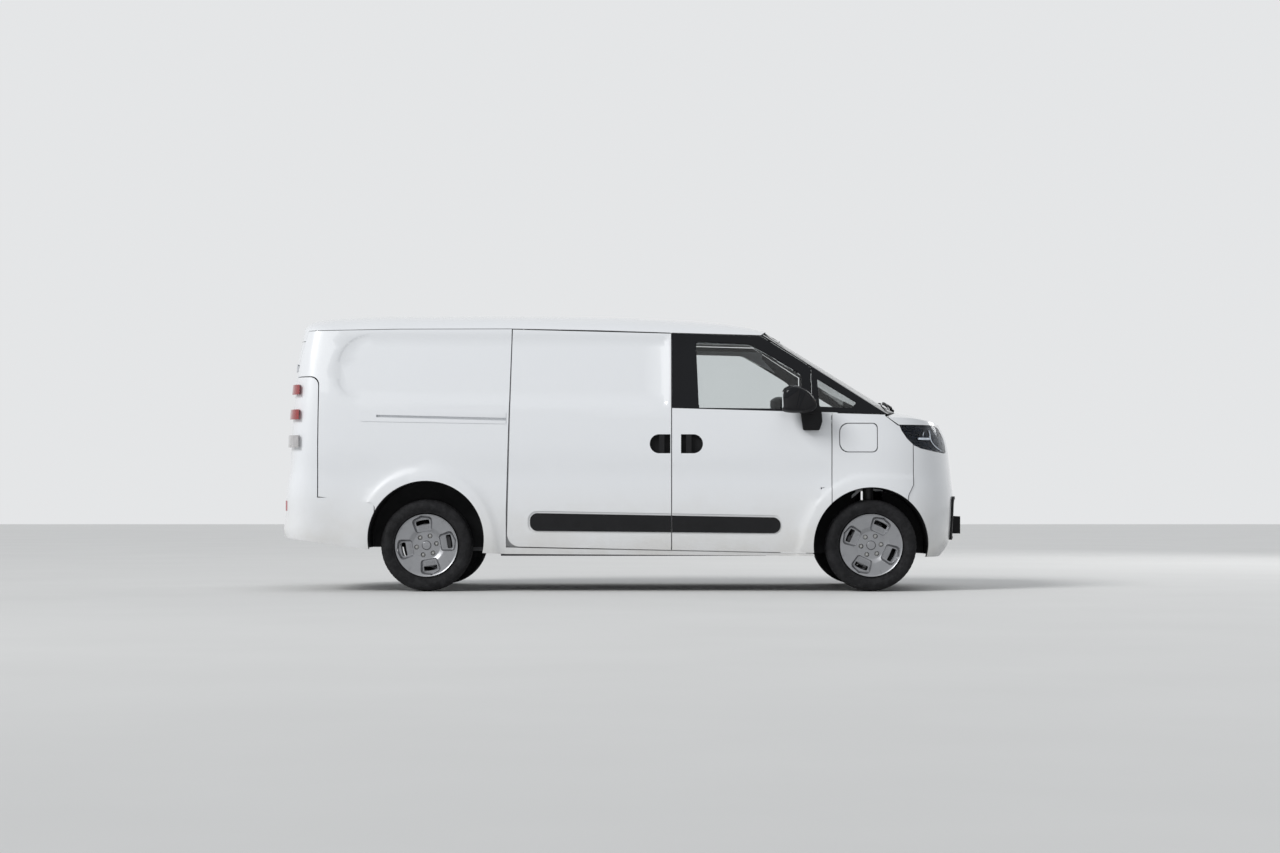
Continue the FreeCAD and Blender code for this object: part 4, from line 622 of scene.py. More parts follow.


# The bar's bright white material is a painted highlight of sun glint.
def lamp_bar():
    built = bmesh.new()
    rows = []
    for k in range(9):
        x = 0.338 + 0.085 * k / 8
        rows.append([lamp_spot(x, 1.058 + 0.015 * j / 3, 0.007) for j in range(4)])
    add_skin(built, rows, 0.006)
    return built


def lamp_trim():
    """The bright line that runs down from the projector along the lower edge of the lamp."""
    built = bmesh.new()
    line = [(0.424, 1.130), (0.428, 1.112), (0.430, 1.090), (0.432, 1.068), (0.438, 1.052), (0.452, 1.032),
            (0.470, 1.014), (0.492, 0.999), (0.515, 0.989), (0.536, 0.981)]
    path = [lamp_spot(x, z, 0.013)[0] for x, z in line]
    add_tube(built, path, [0.004, 0.0055, 0.006, 0.006, 0.006, 0.0055, 0.005, 0.0045, 0.004, 0.0035], 10)
    return built


PROJECTOR = (0.412, 1.092)


def projector_place():
    spot, _ = lamp_spot(*PROJECTOR, 0.045)
    return spot, Vector((0.93, -0.33, -0.04)).normalized()


def projector_ring():
    built = bmesh.new()
    centre, axis = projector_place()
    add_lathe(built, [(0.031, -0.03), (0.038, -0.028), (0.041, -0.004), (0.040, 0.004), (0.037, 0.006),
                      (0.0335, 0.002), (0.031, -0.01)], centre, axis, 48)
    add_lathe(built, [(0.044, -0.02), (0.047, -0.018), (0.0475, -0.008), (0.0455, -0.006)], centre, axis, 48)
    return built


def projector_lens():
    built = bmesh.new()
    centre, axis = projector_place()
    dome = [(0.0325 * math.sin(t), 0.004 + 0.014 * math.cos(t)) for t in [math.pi / 2 * k / 8 for k in range(9)]]
    add_lathe(built, dome + [(0.0325, -0.006), (0.0, -0.006)], centre, axis, 40)
    return built


pair("headlamp_shell", lamp_shell, LENS_CLEAR, instead=["headlamps"])
pair("headlamp_bowl", lamp_bowl, LAMP_BOWL, instead=["headlamps"])
pair("headlamp_ribs", lamp_ribs, LAMP_BOWL)
pair("headlamp_bar", lamp_bar, LIGHT_BAR_GLINT)
pair("headlamp_trim", lamp_trim, CHROME)
pair("projector_ring", projector_ring, CHROME)
pair("projector_lens", projector_lens, LENS_CLEAR)


# Tail lamps: the three lens blocks of each corner, with ribbed lenses.
TAIL_LENS_PROUD = 0.0002


def tail_lens(low, high):
    built = kept_faces("tail_lamps", lambda spot, _: low < spot.z < high)
    for vert in built.verts:
        vert.co += vert.normal * TAIL_LENS_PROUD
    return built


for name, low, high, material in (("tail_lens_high", 1.30, 1.60, LENS_RED), ("tail_lens_middle", 1.15, 1.30, LENS_RED),
                                  ("tail_lens_low", 0.90, 1.15, LENS_WHITE)):
    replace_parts(single(name, lambda: tail_lens(low, high), material), "tail_lamps")


# Door mirrors: the glass in its recess, a gloss cap on the upper half and a turn lamp in its edge.
MIRROR_X, MIRROR_Z = FRONT - 0.628, 1.243


def mirror_glass():
    built = bmesh.new()
    outline = rounded([(0.0635, 0.0295), (0.1805, 0.0295), (0.1805, 0.1405), (0.0635, 0.1405)], 0.014, 5)
    add_plate(built, outline, lambda a, b, h: Vector((MIRROR_X + 0.0055 - h, -HALF_WIDTH - a, MIRROR_Z + b)),
              0.004, 0.001)
    return built


def mirror_cap():
    def keep(spot, normal):
        return spot.z > MIRROR_Z + 0.094 and spot.y < -HALF_WIDTH - 0.02 and normal.x > -0.75 \
            and spot.x > FRONT - 0.70
    built = kept_faces("door_trim_right", keep)
    for vert in built.verts:
        vert.co += vert.normal * 0.0012
    return thicken(built, 0.0016)


def turn_lamp():
    """A slim lamp in the outer front edge of the mirror."""
    skin = surface("door_trim_right")
    rows = []
    for k in range(13):
        y = -HALF_WIDTH - 0.075 - 0.115 * k / 12
        row = []
        for j in range(3):
            z = MIRROR_Z + 0.078 + 0.008 * j / 2
            missed = (Vector((FRONT - 0.42, y, z)), Vector((1, 0, 0)))
            place, normal = onto(skin, (FRONT - 0.2, y, z), (-1, 0, 0), missed)
            row.append((place + normal * 0.0006, normal))
        rows.append(row)
    built = bmesh.new()
    add_skin(built, rows, 0.003)
    return built


DOORS = ("door_front_right", "door_front_left")
pair("mirror_glass", mirror_glass, MIRROR, DOORS)
pair("mirror_cap", mirror_cap, BLACK_GLOSS, DOORS)
pair("turn_lamp", turn_lamp, AMBER, DOORS)


# Wheels: nuts in their holes over dark sleeves of painted shade, a valve, and a caliper over each disc.
NUT_CIRCLE = 0.070
NUT_FACE = 0.052
NUT_START = {"front": math.radians(155), "rear": math.radians(100)}


def outward(corner):
    """The way out of a wheel along Y."""
    return -1 if corner.endswith("right") else 1


def hub_point(corner, radius, turn, along):
    """A point at a wheel: so far from its middle, at an angle from the top, so far out along its axle."""
    centre = middle("tyre_" + corner)
    side = outward(corner)
    return centre + Vector((radius * math.sin(turn), side * along, radius * math.cos(turn)))


def nut_places(corner):
    start = NUT_START[corner.split("_")[0]] * outward(corner)
    return [hub_point(corner, NUT_CIRCLE, start + math.pi / 3 * k, NUT_FACE) for k in range(6)]


def wheel_nuts(corner):
    built = bmesh.new()
    axis = Vector((0, outward(corner), 0))
    for spot in nut_places(corner):
        add_lathe(built, [(0.0, -0.002), (0.0125, -0.002), (0.0125, 0.003), (0.0, 0.003)], spot, axis, 24)
        add_lathe(built, [(0.0, 0.0), (0.0098, 0.0), (0.0098, 0.0095), (0.0078, 0.0115), (0.0, 0.0125)], spot, axis, 6)
    return built


def nut_hole_shade(corner):
    """Painted shade: dark sleeves in the six nut holes, where shade falls, and a dark ring round the cap."""
    built = bmesh.new()
    axis = Vector((0, outward(corner), 0))
    for spot in nut_places(corner):
        add_lathe(built, [(0.0126, 0.0003), (0.0162, 0.0003), (0.0162, 0.0135), (0.0150, 0.0138), (0.0150, 0.0016),
                          (0.0126, 0.0016)], spot, axis, 28)
    add_lathe(built, [(0.0300, 0.0), (0.0325, 0.0), (0.0325, 0.0012), (0.0300, 0.0012)],
              hub_point(corner, 0, 0, 0.0658), axis, 40)
    return built


def valve(corner):
    built = bmesh.new()
    side = outward(corner)
    spot = hub_point(corner, 0.158, math.radians(20), 0.028)
    add_tube(built, [spot, spot + Vector((0, side * 0.012, 0)), spot + Vector((0, side * 0.016, 0)),
                     spot + Vector((0, side * 0.026, 0)), spot + Vector((0, side * 0.028, 0))],
             [0.0055, 0.005, 0.0038, 0.004, 0.003], 12)
    return built


def caliper(corner):
    """A floating caliper: two halves over the rim of the disc, with a bridge and guide pins."""
    built = bmesh.new()
    forward = -1 if corner.startswith("front") else 1
    spans = [math.radians(90 * forward + d) for d in (-26, -18, -9, 0, 9, 18, 26)]
    for start, end, inner, outer in ((0.004, 0.028, 0.100, 0.166), (-0.072, -0.024, 0.098, 0.168),
                                     (-0.030, 0.010, 0.156, 0.169)):
        rings = []
        for turn in spans:
            shrink = 0.006 if turn in (spans[0], spans[-1]) else 0.0
            low, high, near, far = inner + shrink, outer - shrink, start + shrink, end - shrink
            rings.append([hub_point(corner, r, turn, y) for r, y in ((low, near), (high, near), (high, far), (low, far))])
        rows = ring_surface(built, rings)
        built.faces.new(rows[0])
        built.faces.new(list(reversed(rows[-1])))
    for turn in (spans[1], spans[-2]):
        add_tube(built, [hub_point(corner, 0.128, turn, along) for along in (-0.082, -0.07, -0.05)],
                 [0.008, 0.009, 0.009], 12)
    return built


for corner in ("front_left", "front_right", "rear_left", "rear_right"):
    spinning = NODES["wheel_" + corner]["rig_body"]
    single("wheel_nuts_" + corner, lambda: wheel_nuts(corner), STEEL, spinning)
    # Dark sleeves in the nut holes: painted shade.
    single("nut_hole_shade_" + corner, lambda: nut_hole_shade(corner), SEAL, spinning)
    single("valve_" + corner, lambda: valve(corner), SEAL, spinning)
    carrier = NODES["knuckle_" + corner.split("_")[1]]["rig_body"] if corner.startswith("front") else "root"
    single("caliper_" + corner, lambda: caliper(corner), CAST, carrier)


# Wipers on the windscreen, parked along its lower edge.
SCREEN_SKIN = surface("windscreen", "cab_frame", "bonnet")


def on_screen(x, y, lift):
    place, normal = onto(SCREEN_SKIN, (FRONT + x, y, 2.6), (0, 0, -1))
    return place + normal * lift


GRIP_SHARE = 0.52


def wiper(pivot, start, end):
    built = bmesh.new()
    blade = [on_screen(0.135 - 0.012 * math.sin(math.pi * k / 12), start + (end - start) * k / 12, 0.012)
             for k in range(13)]
    add_tube(built, blade, [0.002] + [0.0042] * 11 + [0.002], 8)
    add_tube(built, [p + Vector((0.002, 0, 0.010)) for p in blade[1:-1]],
             [0.003, 0.005, 0.007, 0.0085, 0.009, 0.009, 0.009, 0.0085, 0.007, 0.005, 0.003], 6)
    spot = on_screen(0.215, pivot, 0.0)
    grip = blade[0].lerp(blade[-1], GRIP_SHARE) + Vector((0.003, 0, 0.018))
    arm = [spot + Vector((0, 0, 0.022)), spot.lerp(grip, 0.16) + Vector((0, 0, 0.030)),
           spot.lerp(grip, 0.35) + Vector((0, 0, 0.024)), spot.lerp(grip, 0.7) + Vector((0, 0, 0.016)), grip]
    add_tube(built, arm, [0.011, 0.011, 0.009, 0.006, 0.005], 10)
    add_lathe(built, [(0.0, -0.012), (0.016, -0.012), (0.016, 0.022), (0.012, 0.028), (0.0, 0.029)], spot,
              (0.25, 0, 1), 24)
    return built


single("wiper_left", lambda: wiper(0.585, 0.535, -0.075), BLACK_PLASTIC)
single("wiper_right", lambda: wiper(-0.02, -0.095, -0.665), BLACK_PLASTIC)


# Number plates without characters, the rear one on the left door under its lamp.
def plate(place, wide, high):
    built = bmesh.new()
    outline = rounded_box(wide / 2, high / 2, 0.010)
    add_plate(built, outline, place, 0.0018, 0.0006)
    return built


def rear_panel(y, z, lift):
    """A place on the rear face of the van."""
    place, normal = onto(REAR_SKIN, (-3.2, y, z), (1, 0, 0))
    return place + normal * lift


REAR_SKIN = surface("rear_door_left", "rear_door_right", "rear_bumper", "roof")
PLATE_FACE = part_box("lower_grille")[1].x
PLATE_WIDE, PLATE_HIGH = 0.5, 0.108
single("front_plate",
       lambda: plate(lambda a, b, h: Vector((PLATE_FACE - 0.0004 + h, a, 0.456 + b)), PLATE_WIDE, PLATE_HIGH),
       PLATE)
REAR_PLATE = (0.345, 0.865)


def on_rear_door(a, b, h):
    y, z = REAR_PLATE
    base = rear_panel(y, z, 0.004)
    up = (rear_panel(y, z + 0.05, 0.004) - rear_panel(y, z - 0.05, 0.004)).normalized()
    side = Vector((0, 1, 0))
    return base + side * a + up * b + Vector((-h, 0, 0))


single("rear_plate", lambda: plate(on_rear_door, PLATE_WIDE, PLATE_HIGH), PLATE, NODES["rear_door_left"]["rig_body"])


def plate_lamp():
    """The shade over the rear plate."""
    built = bmesh.new()
    y, z = REAR_PLATE
    rows = []
    for a in (-0.27, -0.262, -0.24, 0.24, 0.262, 0.27):
        tight = 0.55 if abs(a) > 0.265 else 1.0
        base = rear_panel(y + a, z + 0.085, -0.001)
        rows.append([base, base + Vector((-0.020 * tight, 0, -0.008)), base + Vector((-0.030 * tight, 0, 0.004)),
                     base + Vector((-0.027 * tight, 0, 0.022)), base + Vector((-0.010 * tight, 0, 0.040)),
                     base + Vector((0.003, 0, 0.044))])
    rows = ring_surface(built, rows)
    built.faces.new(rows[0])
    built.faces.new(list(reversed(rows[-1])))
    return built


def rear_handle():
    """The pull in the edge of the right rear door: a cup surround with a bar across it."""
    built = bmesh.new()
    y, z = -0.105, 1.005
    outline = rounded_box(0.052, 0.085, 0.03, 6)
    add_plate(built, outline, lambda a, b, h: rear_panel(y + a, z + b, -0.0005) + Vector((-h, 0, 0)), 0.007, 0.003)
    grip = [rear_panel(y, z + d, 0.006 + 0.018 * math.cos(d / 0.06 * math.pi / 2)) for d in
            [-0.058 + 0.0145 * k for k in range(9)]]
    add_tube(built, grip, [0.008, 0.011, 0.012, 0.012, 0.012, 0.012, 0.012, 0.011, 0.008], 12)
    return built


def key_lock():
    built = bmesh.new()
    spot = rear_panel(-0.105, 0.885, 0.0)
    add_lathe(built, [(0.0, -0.002), (0.014, -0.002), (0.014, 0.003), (0.012, 0.005), (0.004, 0.005), (0.004, 0.003),
                      (0.0, 0.003)], spot, (-1, 0, 0), 28)
    return built


REAR_BODIES = {side: NODES["rear_door_" + side]["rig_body"] for side in SIDES}
single("plate_lamp", plate_lamp, BLACK_PLASTIC, REAR_BODIES["left"])
single("rear_handle", rear_handle, BLACK_PLASTIC, REAR_BODIES["right"])
single("rear_lock", key_lock, STEEL, REAR_BODIES["right"])


def rear_strip(y, z, wide, high, lift, depth):
    """A slim lamp or reflector that follows the rear face."""
    rows = [[(rear_panel(y + wide * (k / 12 - 0.5), z + high * (j / 4 - 0.5), lift), Vector((-1, 0, 0)))
             for j in range(5)] for k in range(13)]
    built = bmesh.new()
    add_skin(built, rows, depth)
    return built


single("brake_light", lambda: rear_strip(0, 1.797, 0.36, 0.022, 0.006, 0.010), LENS_RED)
pair("rear_reflector", lambda: rear_strip(-0.735, 0.596, 0.085, 0.070, 0.006, 0.010), LENS_PINK)


# Seals round the side windows.
WINDOW = [(-1.222, 1.748), (-0.849, 1.727), (-0.724, 1.658), (-0.485, 1.515), (-0.478, 1.268), (-1.226, 1.268)]
QUARTER = [(-0.379, 1.484), (-0.362, 1.284), (-0.138, 1.276), (-0.096, 1.312)]


def window_seal(outline, radius, node, thick):
    pane = surface(node)
    built = bmesh.new()
    path = []
    middle_x, middle_z = centre_of(outline)
    for x, z in rounded(outline, radius, 8):
        inward = Vector((middle_x - x, middle_z - z)).normalized()
        found = None
        step = 0.004
        while found is None:
            spot = Vector((x, z)) + inward * step
            found = onto(pane, (FRONT + spot.x, -OUT, spot.y), (0, 1, 0))
            step += 0.004
        path.append(found[0] + Vector((0, 0.002, 0)) - Vector((inward.x, 0, inward.y)) * 0.006)
    path.append(path[0])
    long = [path[0]]
    for a, b in zip(path, path[1:]):
        parts = max(1, round((b - a).length / 0.05))
        long += [a.lerp(b, k / parts) for k in range(1, parts + 1)]
    add_tube(built, long, thick, 8)
    return built


pair("window_seal", lambda: window_seal(WINDOW, 0.03, "door_glass_right", 0.005), SEAL, DOORS)
pair("quarter_seal", lambda: window_seal(QUARTER, 0.012, "quarter_windows", 0.004), SEAL)


# The inside of the cab.
DASH_SKIN = surface("dashboard")


def dash_top(x, y):
    place, _ = onto(DASH_SKIN, (FRONT + x, y, 2.0), (0, 0, -1))
    return place


VENT_Z = 1.12
SCREEN_AT = (0.02, 1.155)
SCREEN_TURN = Matrix.Rotation(math.radians(-12), 3, "Y")


def dash_face(y, z):
    place, _ = onto(DASH_SKIN, (FRONT - 1.2, y, z), (1, 0, 0))
    return place


def vents():
    """Four air vents in the face of the dashboard, each a frame with slats."""
    built = bmesh.new()
    for y, wide in ((-0.66, 0.13), (-0.10, 0.13), (0.11, 0.13), (0.665, 0.12)):
        high = 0.062
        for low_b, high_b in ((-high / 2, -high / 2 + 0.008), (high / 2 - 0.008, high / 2)):
            base = dash_face(y, VENT_Z + (low_b + high_b) / 2)
            block_at(built, base, (-0.012, -wide / 2, -0.004), (0.004, wide / 2, 0.004), 0.002)
        for a in (-wide / 2, wide / 2 - 0.008):
            base = dash_face(y, VENT_Z)
            block_at(built, base, (-0.014, a, -high / 2), (0.004, a + 0.008, high / 2), 0.002)
        for k in range(5):
            base = dash_face(y, VENT_Z - high / 2 + 0.014 + k * 0.0086)
            block_at(built, base, (-0.008, -wide / 2 + 0.006, -0.0012), (0.004, wide / 2 - 0.006, 0.0012), 0.0005)
    return built


def screen_case():
    """The middle screen on its stand, tilted to the driver."""
    built = bmesh.new()
    spot = dash_face(*SCREEN_AT)
    block_at(built, spot, (-0.045, -0.125, -0.045), (-0.025, 0.125, 0.105), 0.006, SCREEN_TURN, steps=3)
    block_at(built, spot, (-0.030, -0.05, -0.02), (0.03, 0.05, 0.03), 0.008)
    return built


def screen_glass():
    built = bmesh.new()
    spot = dash_face(*SCREEN_AT)
    middle_spot = spot + Vector((-0.035, 0, 0.03))
    outline = rounded_box(0.117, 0.065, 0.008)
    add_plate(built, outline, lambda a, b, h: middle_spot + SCREEN_TURN @ Vector((-0.0102 - h, a, b)), 0.0012, 0.0004)
    return built


def binnacle():
    """The hood over the driver's instruments, above the dark face that gauge_face makes."""
    built = bmesh.new()
    rows = []
    for x, lift in ((-0.335, 0.010), (-0.352, 0.028), (-0.350, 0.046), (-0.300, 0.052), (-0.240, 0.040),
                    (-0.200, 0.010)):
        row = []
        for k in range(15):
            y = 0.38 + 0.19 * (k / 14 * 2 - 1)
            swell_up = max(0.0, 1 - abs(k / 14 * 2 - 1) ** 3)
            top = dash_top(x if x > -0.34 else -0.34, y)
            row.append(Vector((FRONT + x, y, 1.165 + (top.z - 1.165) * 0.3 + lift * swell_up)))
        rows.append(row)
    grid = [[(p, Vector((0, 0, 1))) for p in row] for row in rows]
    add_skin(built, grid, 0.006)
    return built


def gauge_face():
    built = bmesh.new()
    turn = Matrix.Rotation(math.radians(-18), 3, "Y")
    spot = Vector((FRONT - 0.338, 0.38, 1.178))
    outline = rounded([(-0.145, -0.045), (0.145, -0.045), (0.13, 0.035), (-0.13, 0.035)], 0.02, 5)
    add_plate(built, outline, lambda a, b, h: spot + turn @ Vector((-h, a, b)), 0.004, 0.001)
    return built


single("dash_vents", vents, CABIN_DARK)
single("screen_case", screen_case, CABIN_DARK)
single("screen_glass", screen_glass, BLACK_GLOSS)
single("binnacle", binnacle, CABIN)
single("gauge_face", gauge_face, BLACK_GLOSS)

STEER_TILT = math.radians(28)
STEER_HUB = Vector((FRONT - 0.560, 0.380, 1.080))
STEER_AXIS = Vector((-math.cos(STEER_TILT), 0, math.sin(STEER_TILT)))
STEER_UP = Vector((math.sin(STEER_TILT), 0, math.cos(STEER_TILT)))


def steer_place(a, b, lift):
    return STEER_HUB + Vector((0, a, 0)) + STEER_UP * b + STEER_AXIS * lift


def wheel_pad():
    """The padded boss of the steering wheel, with its switch pods."""
    built = bmesh.new()
    outline = rounded([(-0.078, -0.020), (-0.060, -0.078), (0.060, -0.078), (0.078, -0.020), (0.070, 0.052),
                       (-0.070, 0.052)], 0.022, 6)
    rings = []
    for share, lift in ((1.0, -0.032), (1.02, -0.018), (1.0, -0.004), (0.93, 0.006), (0.75, 0.012), (0.4, 0.0155),
                        (0.02, 0.0165)):
        rings.append([steer_place(a * share, (b + 0.012) * share - 0.012, lift) for a, b in outline])
    solid_of_rings(built, rings)
    for side in (-1, 1):
        for k in range(3):
            centre = steer_place(side * 0.110, 0.012 - 0.014 * k, -0.004)
            low, high = centre - Vector((0.004, 0.015, 0.005)), centre + Vector((0.004, 0.015, 0.005))
            add_block(built, low, high, 0.0018, Matrix.Rotation(-STEER_TILT, 3, "Y"))
    return built


def stalks():
    built = bmesh.new()
    for side in (-1, 1):
        path = [steer_place(side * 0.03, -0.005, -0.085), steer_place(side * 0.08, 0.0, -0.080),
                steer_place(side * 0.13, 0.008, -0.068), steer_place(side * 0.165, 0.016, -0.060)]
        add_tube(built, path, [0.008, 0.007, 0.0085, 0.007], 12)
    return built


single("wheel_pad", wheel_pad, CABIN, NODES["steering_wheel"]["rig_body"])
single("stalks", stalks, CABIN_DARK)


# The rest of the inside: door cards, belts, visors, headlining, lashing rings and the cover under the bonnet.
DOOR_INSIDE = surface("door_right")
FRAME_INSIDE = surface("inner_frame")
ROOF_INSIDE = surface("roof")
BAY_INSIDE = surface("front_bumper", "fender_right", "fender_left", "headlamps")


def door_card():
    """A moulded panel on the door's inner face, with an armrest, a pull cup and a bin."""
    built = bmesh.new()
    inward = Vector((0, 1, 0))
    grid = []
    for k in range(13):
        z = 0.47 + 0.745 * k / 12
        ahead = -0.44 - 0.11 * max(0.0, (0.62 - z) / 0.15)
        row = []
        for i in range(15):
            x = -1.28 + (ahead + 1.28) * i / 14
            spot, _ = onto(DOOR_INSIDE, (FRONT + x, -0.5, z), -inward)
            edge = min(i, 14 - i, k, 12 - k)
            waist = 0.010 * math.exp(-((z - 0.98) / 0.07) ** 2)
            row.append((spot + inward * (0.004 + 0.008 * min(1, edge) + waist), inward))
        grid.append(row)
    add_skin(built, grid, 0.0035)
    add_block(built, (FRONT - 1.10, -0.892, 0.925), (FRONT - 0.68, -0.805, 0.980), 0.014)
    add_block(built, (FRONT - 0.90, -0.832, 0.972), (FRONT - 0.72, -0.812, 1.010), 0.008)
    add_block(built, (FRONT - 1.14, -0.884, 0.505), (FRONT - 0.62, -0.838, 0.600), 0.012)
    return built


def door_pull():
    """The inner door lever in its cup and the window switches on the armrest."""
    built = bmesh.new()
    add_block(built, (FRONT - 0.66, -0.870, 1.035), (FRONT - 0.545, -0.858, 1.075), 0.005)
    for step in range(2):
        x = FRONT - 0.80 - 0.045 * step
        add_block(built, (x, -0.856, 0.978), (x + 0.032, -0.838, 0.987), 0.002)
    return built


BELT_X, BELT_WIDE = -1.361, 0.046


def belt_strap():
    """The belt on its pillar, from the guide loop down to the reel."""
    built = bmesh.new()
    inward = Vector((0, 1, 0))
    grid = []
    for k in range(15):
        z = 0.66 + 0.80 * k / 14
        row = []
        for i in range(5):
            x = BELT_X - BELT_WIDE / 2 + BELT_WIDE * i / 4
            spot, _ = onto(FRAME_INSIDE, (FRONT + x, -0.4, z), -inward)
            row.append((spot + inward * 0.004, inward))
        grid.append(row)
    add_skin(built, grid, 0.0016)
    return built


def belt_parts():
    """The guide loop at the top of the belt and the cover of its reel."""
    built = bmesh.new()
    high, _ = onto(FRAME_INSIDE, (FRONT + BELT_X, -0.4, 1.455), (0, -1, 0))
    low, _ = onto(FRAME_INSIDE, (FRONT + BELT_X, -0.4, 0.63), (0, -1, 0))
    block_at(built, high, (-0.034, -0.002, -0.026), (0.034, 0.014, 0.026), 0.006)
    block_at(built, low, (-0.032, -0.002, -0.075), (0.032, 0.030, 0.040), 0.008)
    return built


def visor():
    """A sun visor hinged under the header, parked along the glass."""
    built = bmesh.new()
    top, _ = onto(SCREEN_SKIN, (FRONT - 0.56, -0.37, 1.5), (0, 0, 1))
    centre = top + Vector((0, 0, -0.032))
    half = Vector((0.075, 0.185, 0.008))
    add_block(built, centre - half, centre + half, 0.006, Matrix.Rotation(math.radians(31.8), 3, "Y"), centre)
    add_tube(built, [centre + Vector((-0.062, -0.12, 0.036)), centre + Vector((-0.064, -0.12, 0.072))], 0.005, 10)
    return built


def mirror_place():
    """Where the cabin mirror is glued to the windscreen, and the middle of its head."""
    top, _ = onto(SCREEN_SKIN, (FRONT - 0.45, 0.0, 1.5), (0, 0, 1))
    return top, top + Vector((-0.030, 0, -0.085))


def cabin_mirror():
    built = bmesh.new()
    top, head = mirror_place()
    half = Vector((0.012, 0.118, 0.032))
    add_block(built, head - half, head + half, 0.009)
    add_tube(built, [head + Vector((0.008, 0, 0.010)), head + Vector((0.022, 0, 0.045)), top + Vector((0, 0, 0.002))],
             [0.007, 0.008, 0.016], 16)
    return built


def cabin_mirror_glass():
    built = bmesh.new()
    _, head = mirror_place()
    shape = rounded_box(0.110, 0.026, 0.014)
    add_plate(built, shape, lambda a, b, h: head + Vector((-0.0115 - h, a, b)), 0.002, 0.0006)
    return built


def headlining():
    """A soft lining under the cab roof."""
    built = bmesh.new()
    grid = []
    for k in range(11):
        x = -1.455 + 0.66 * k / 10
        row = []
        for i in range(17):
            y = -0.62 + 1.24 * i / 16
            spot, _ = onto(ROOF_INSIDE, (FRONT + x, y, 1.6), (0, 0, 1))
            row.append((spot + Vector((0, 0, -0.008)), Vector((0, 0, -1))))
        grid.append(row)
    add_skin(built, grid, 0.006)
    return built


def lashing_rings():
    """Six rings in plates along the sides of the load floor."""
    built = bmesh.new()
    floor = onto(surface("platform"), (FRONT - 2.2, 0.3, 1.2), (0, 0, -1))[0].z
    for x in (-1.75, -2.45, -3.75):
        for y in (-0.60, 0.60):
            spot = Vector((FRONT + x, y, floor))
            shape = rounded_box(0.036, 0.036, 0.012)
            add_plate(built, shape, lambda a, b, h, s=spot: s + Vector((a, b, h - 0.0005)), 0.0035, 0.001)
            ring = [spot + Vector((0.021 * math.cos(t), 0.021 * math.sin(t), 0.0065)) for t in
                    [2 * math.pi * n / 28 for n in range(29)]]
            add_tube(built, ring, 0.0034, 10)
    return built


def bay_cover():
    """The ribbed cover over the works under the bonnet, and the washer bottle's cap."""
    built = bmesh.new()
    up = Vector((0, 0, 1))
    grid = []
    for k in range(21):
        y = -0.58 + 1.16 * k / 20
        front, _ = onto(BAY_INSIDE, (FRONT + 0.15, y, 1.02), (1, 0, 0), (Vector((FRONT + 0.36, y, 1.02)), up))
        row = []
        for i in range(19):
            x = FRONT + 0.072 + (front.x + 0.002 - FRONT - 0.072) * i / 18
            rib = 0.008 if i % 3 == 1 and 1 < k < 19 else 0.0
            row.append((Vector((x, y, 1.020 + rib)), up))
        grid.append(row)
    add_skin(built, grid, 0.004)
    add_lathe(built, [(0.0, 0.0), (0.034, 0.0), (0.034, 0.020), (0.030, 0.026), (0.0, 0.027)],
              (FRONT + 0.22, -0.46, 1.018), (0, 0, 1), 32)
    add_block(built, (FRONT + 0.14, 0.28, 1.018), (FRONT + 0.34, 0.52, 1.075), 0.012)
    return built


pair("door_card", door_card, CABIN, DOORS)
pair("door_pull", door_pull, CABIN_DARK, DOORS)
pair("belt_strap", belt_strap, FABRIC)
pair("belt_parts", belt_parts, CABIN_DARK)
pair("visor", visor, LINING_PALE)
single("cabin_mirror", cabin_mirror, CABIN_DARK)
single("cabin_mirror_glass", cabin_mirror_glass, MIRROR)
single("headlining", headlining, LINING_PALE)
single("lashing_rings", lashing_rings, STEEL)
single("bay_cover", bay_cover, CABIN_DARK)


# Seats: padded cushions and backs with their seams, and headrests on two posts each.
def pad_mesh(outline, low, high, crown, steps=10):
    """A closed pad from a side outline (x, z) between two widths, its sides drawn in at the edges."""
    built = bmesh.new()
    rings = []
    middle_x, middle_z = centre_of(outline)
    for k in range(steps + 1):
        t = 2 * k / steps - 1
        share = 1 - crown * abs(t) ** 4
        y = (low + high) / 2 + (high - low) / 2 * t
        rings.append([Vector((middle_x + (x - middle_x) * share, y, middle_z + (z - middle_z) * share))
                      for x, z in outline])
    solid_of_rings(built, rings)
    return close(built)


PUFF_FRAMES = 20


def inflate(obj, voxel, pressure, cap):
    """Puffs a pad with the cloth solver and keeps each point within a cap of where it started."""
    data = obj.data
    remesh = obj.modifiers.new("Voxels", "REMESH")
    remesh.mode = "VOXEL"
    remesh.voxel_size = voxel
    settle(obj)
    start = [v.co.copy() for v in data.vertices]
    puff = obj.modifiers.new("Puff", "CLOTH")
    puff.settings.use_pressure = True
    puff.settings.uniform_pressure_force = pressure
    puff.settings.quality = 5
    puff.settings.mass = 0.3
    puff.settings.tension_stiffness = 40
    puff.settings.compression_stiffness = 40
    puff.settings.bending_stiffness = 2
    puff.settings.effector_weights.gravity = 0
    puff.point_cache.frame_start, puff.point_cache.frame_end = 1, PUFF_FRAMES
    for frame_number in range(1, PUFF_FRAMES + 1):
        bpy.context.scene.frame_set(frame_number)
    settle(obj)
    for vert, before in zip(data.vertices, start):
        moved = vert.co - before
        if moved.length > cap:
            vert.co = before + moved.normalized() * cap
    bpy.context.scene.frame_set(1)
    return obj


def settle(obj):
    """Writes the modifiers of an object into its own mesh."""
    graph = bpy.context.evaluated_depsgraph_get()
    shaped = bpy.data.meshes.new_from_object(obj.evaluated_get(graph))
    built = bmesh.new()
    built.from_mesh(shaped)
    obj.modifiers.clear()
    built.to_mesh(obj.data)
    built.free()
    bpy.data.meshes.remove(shaped)


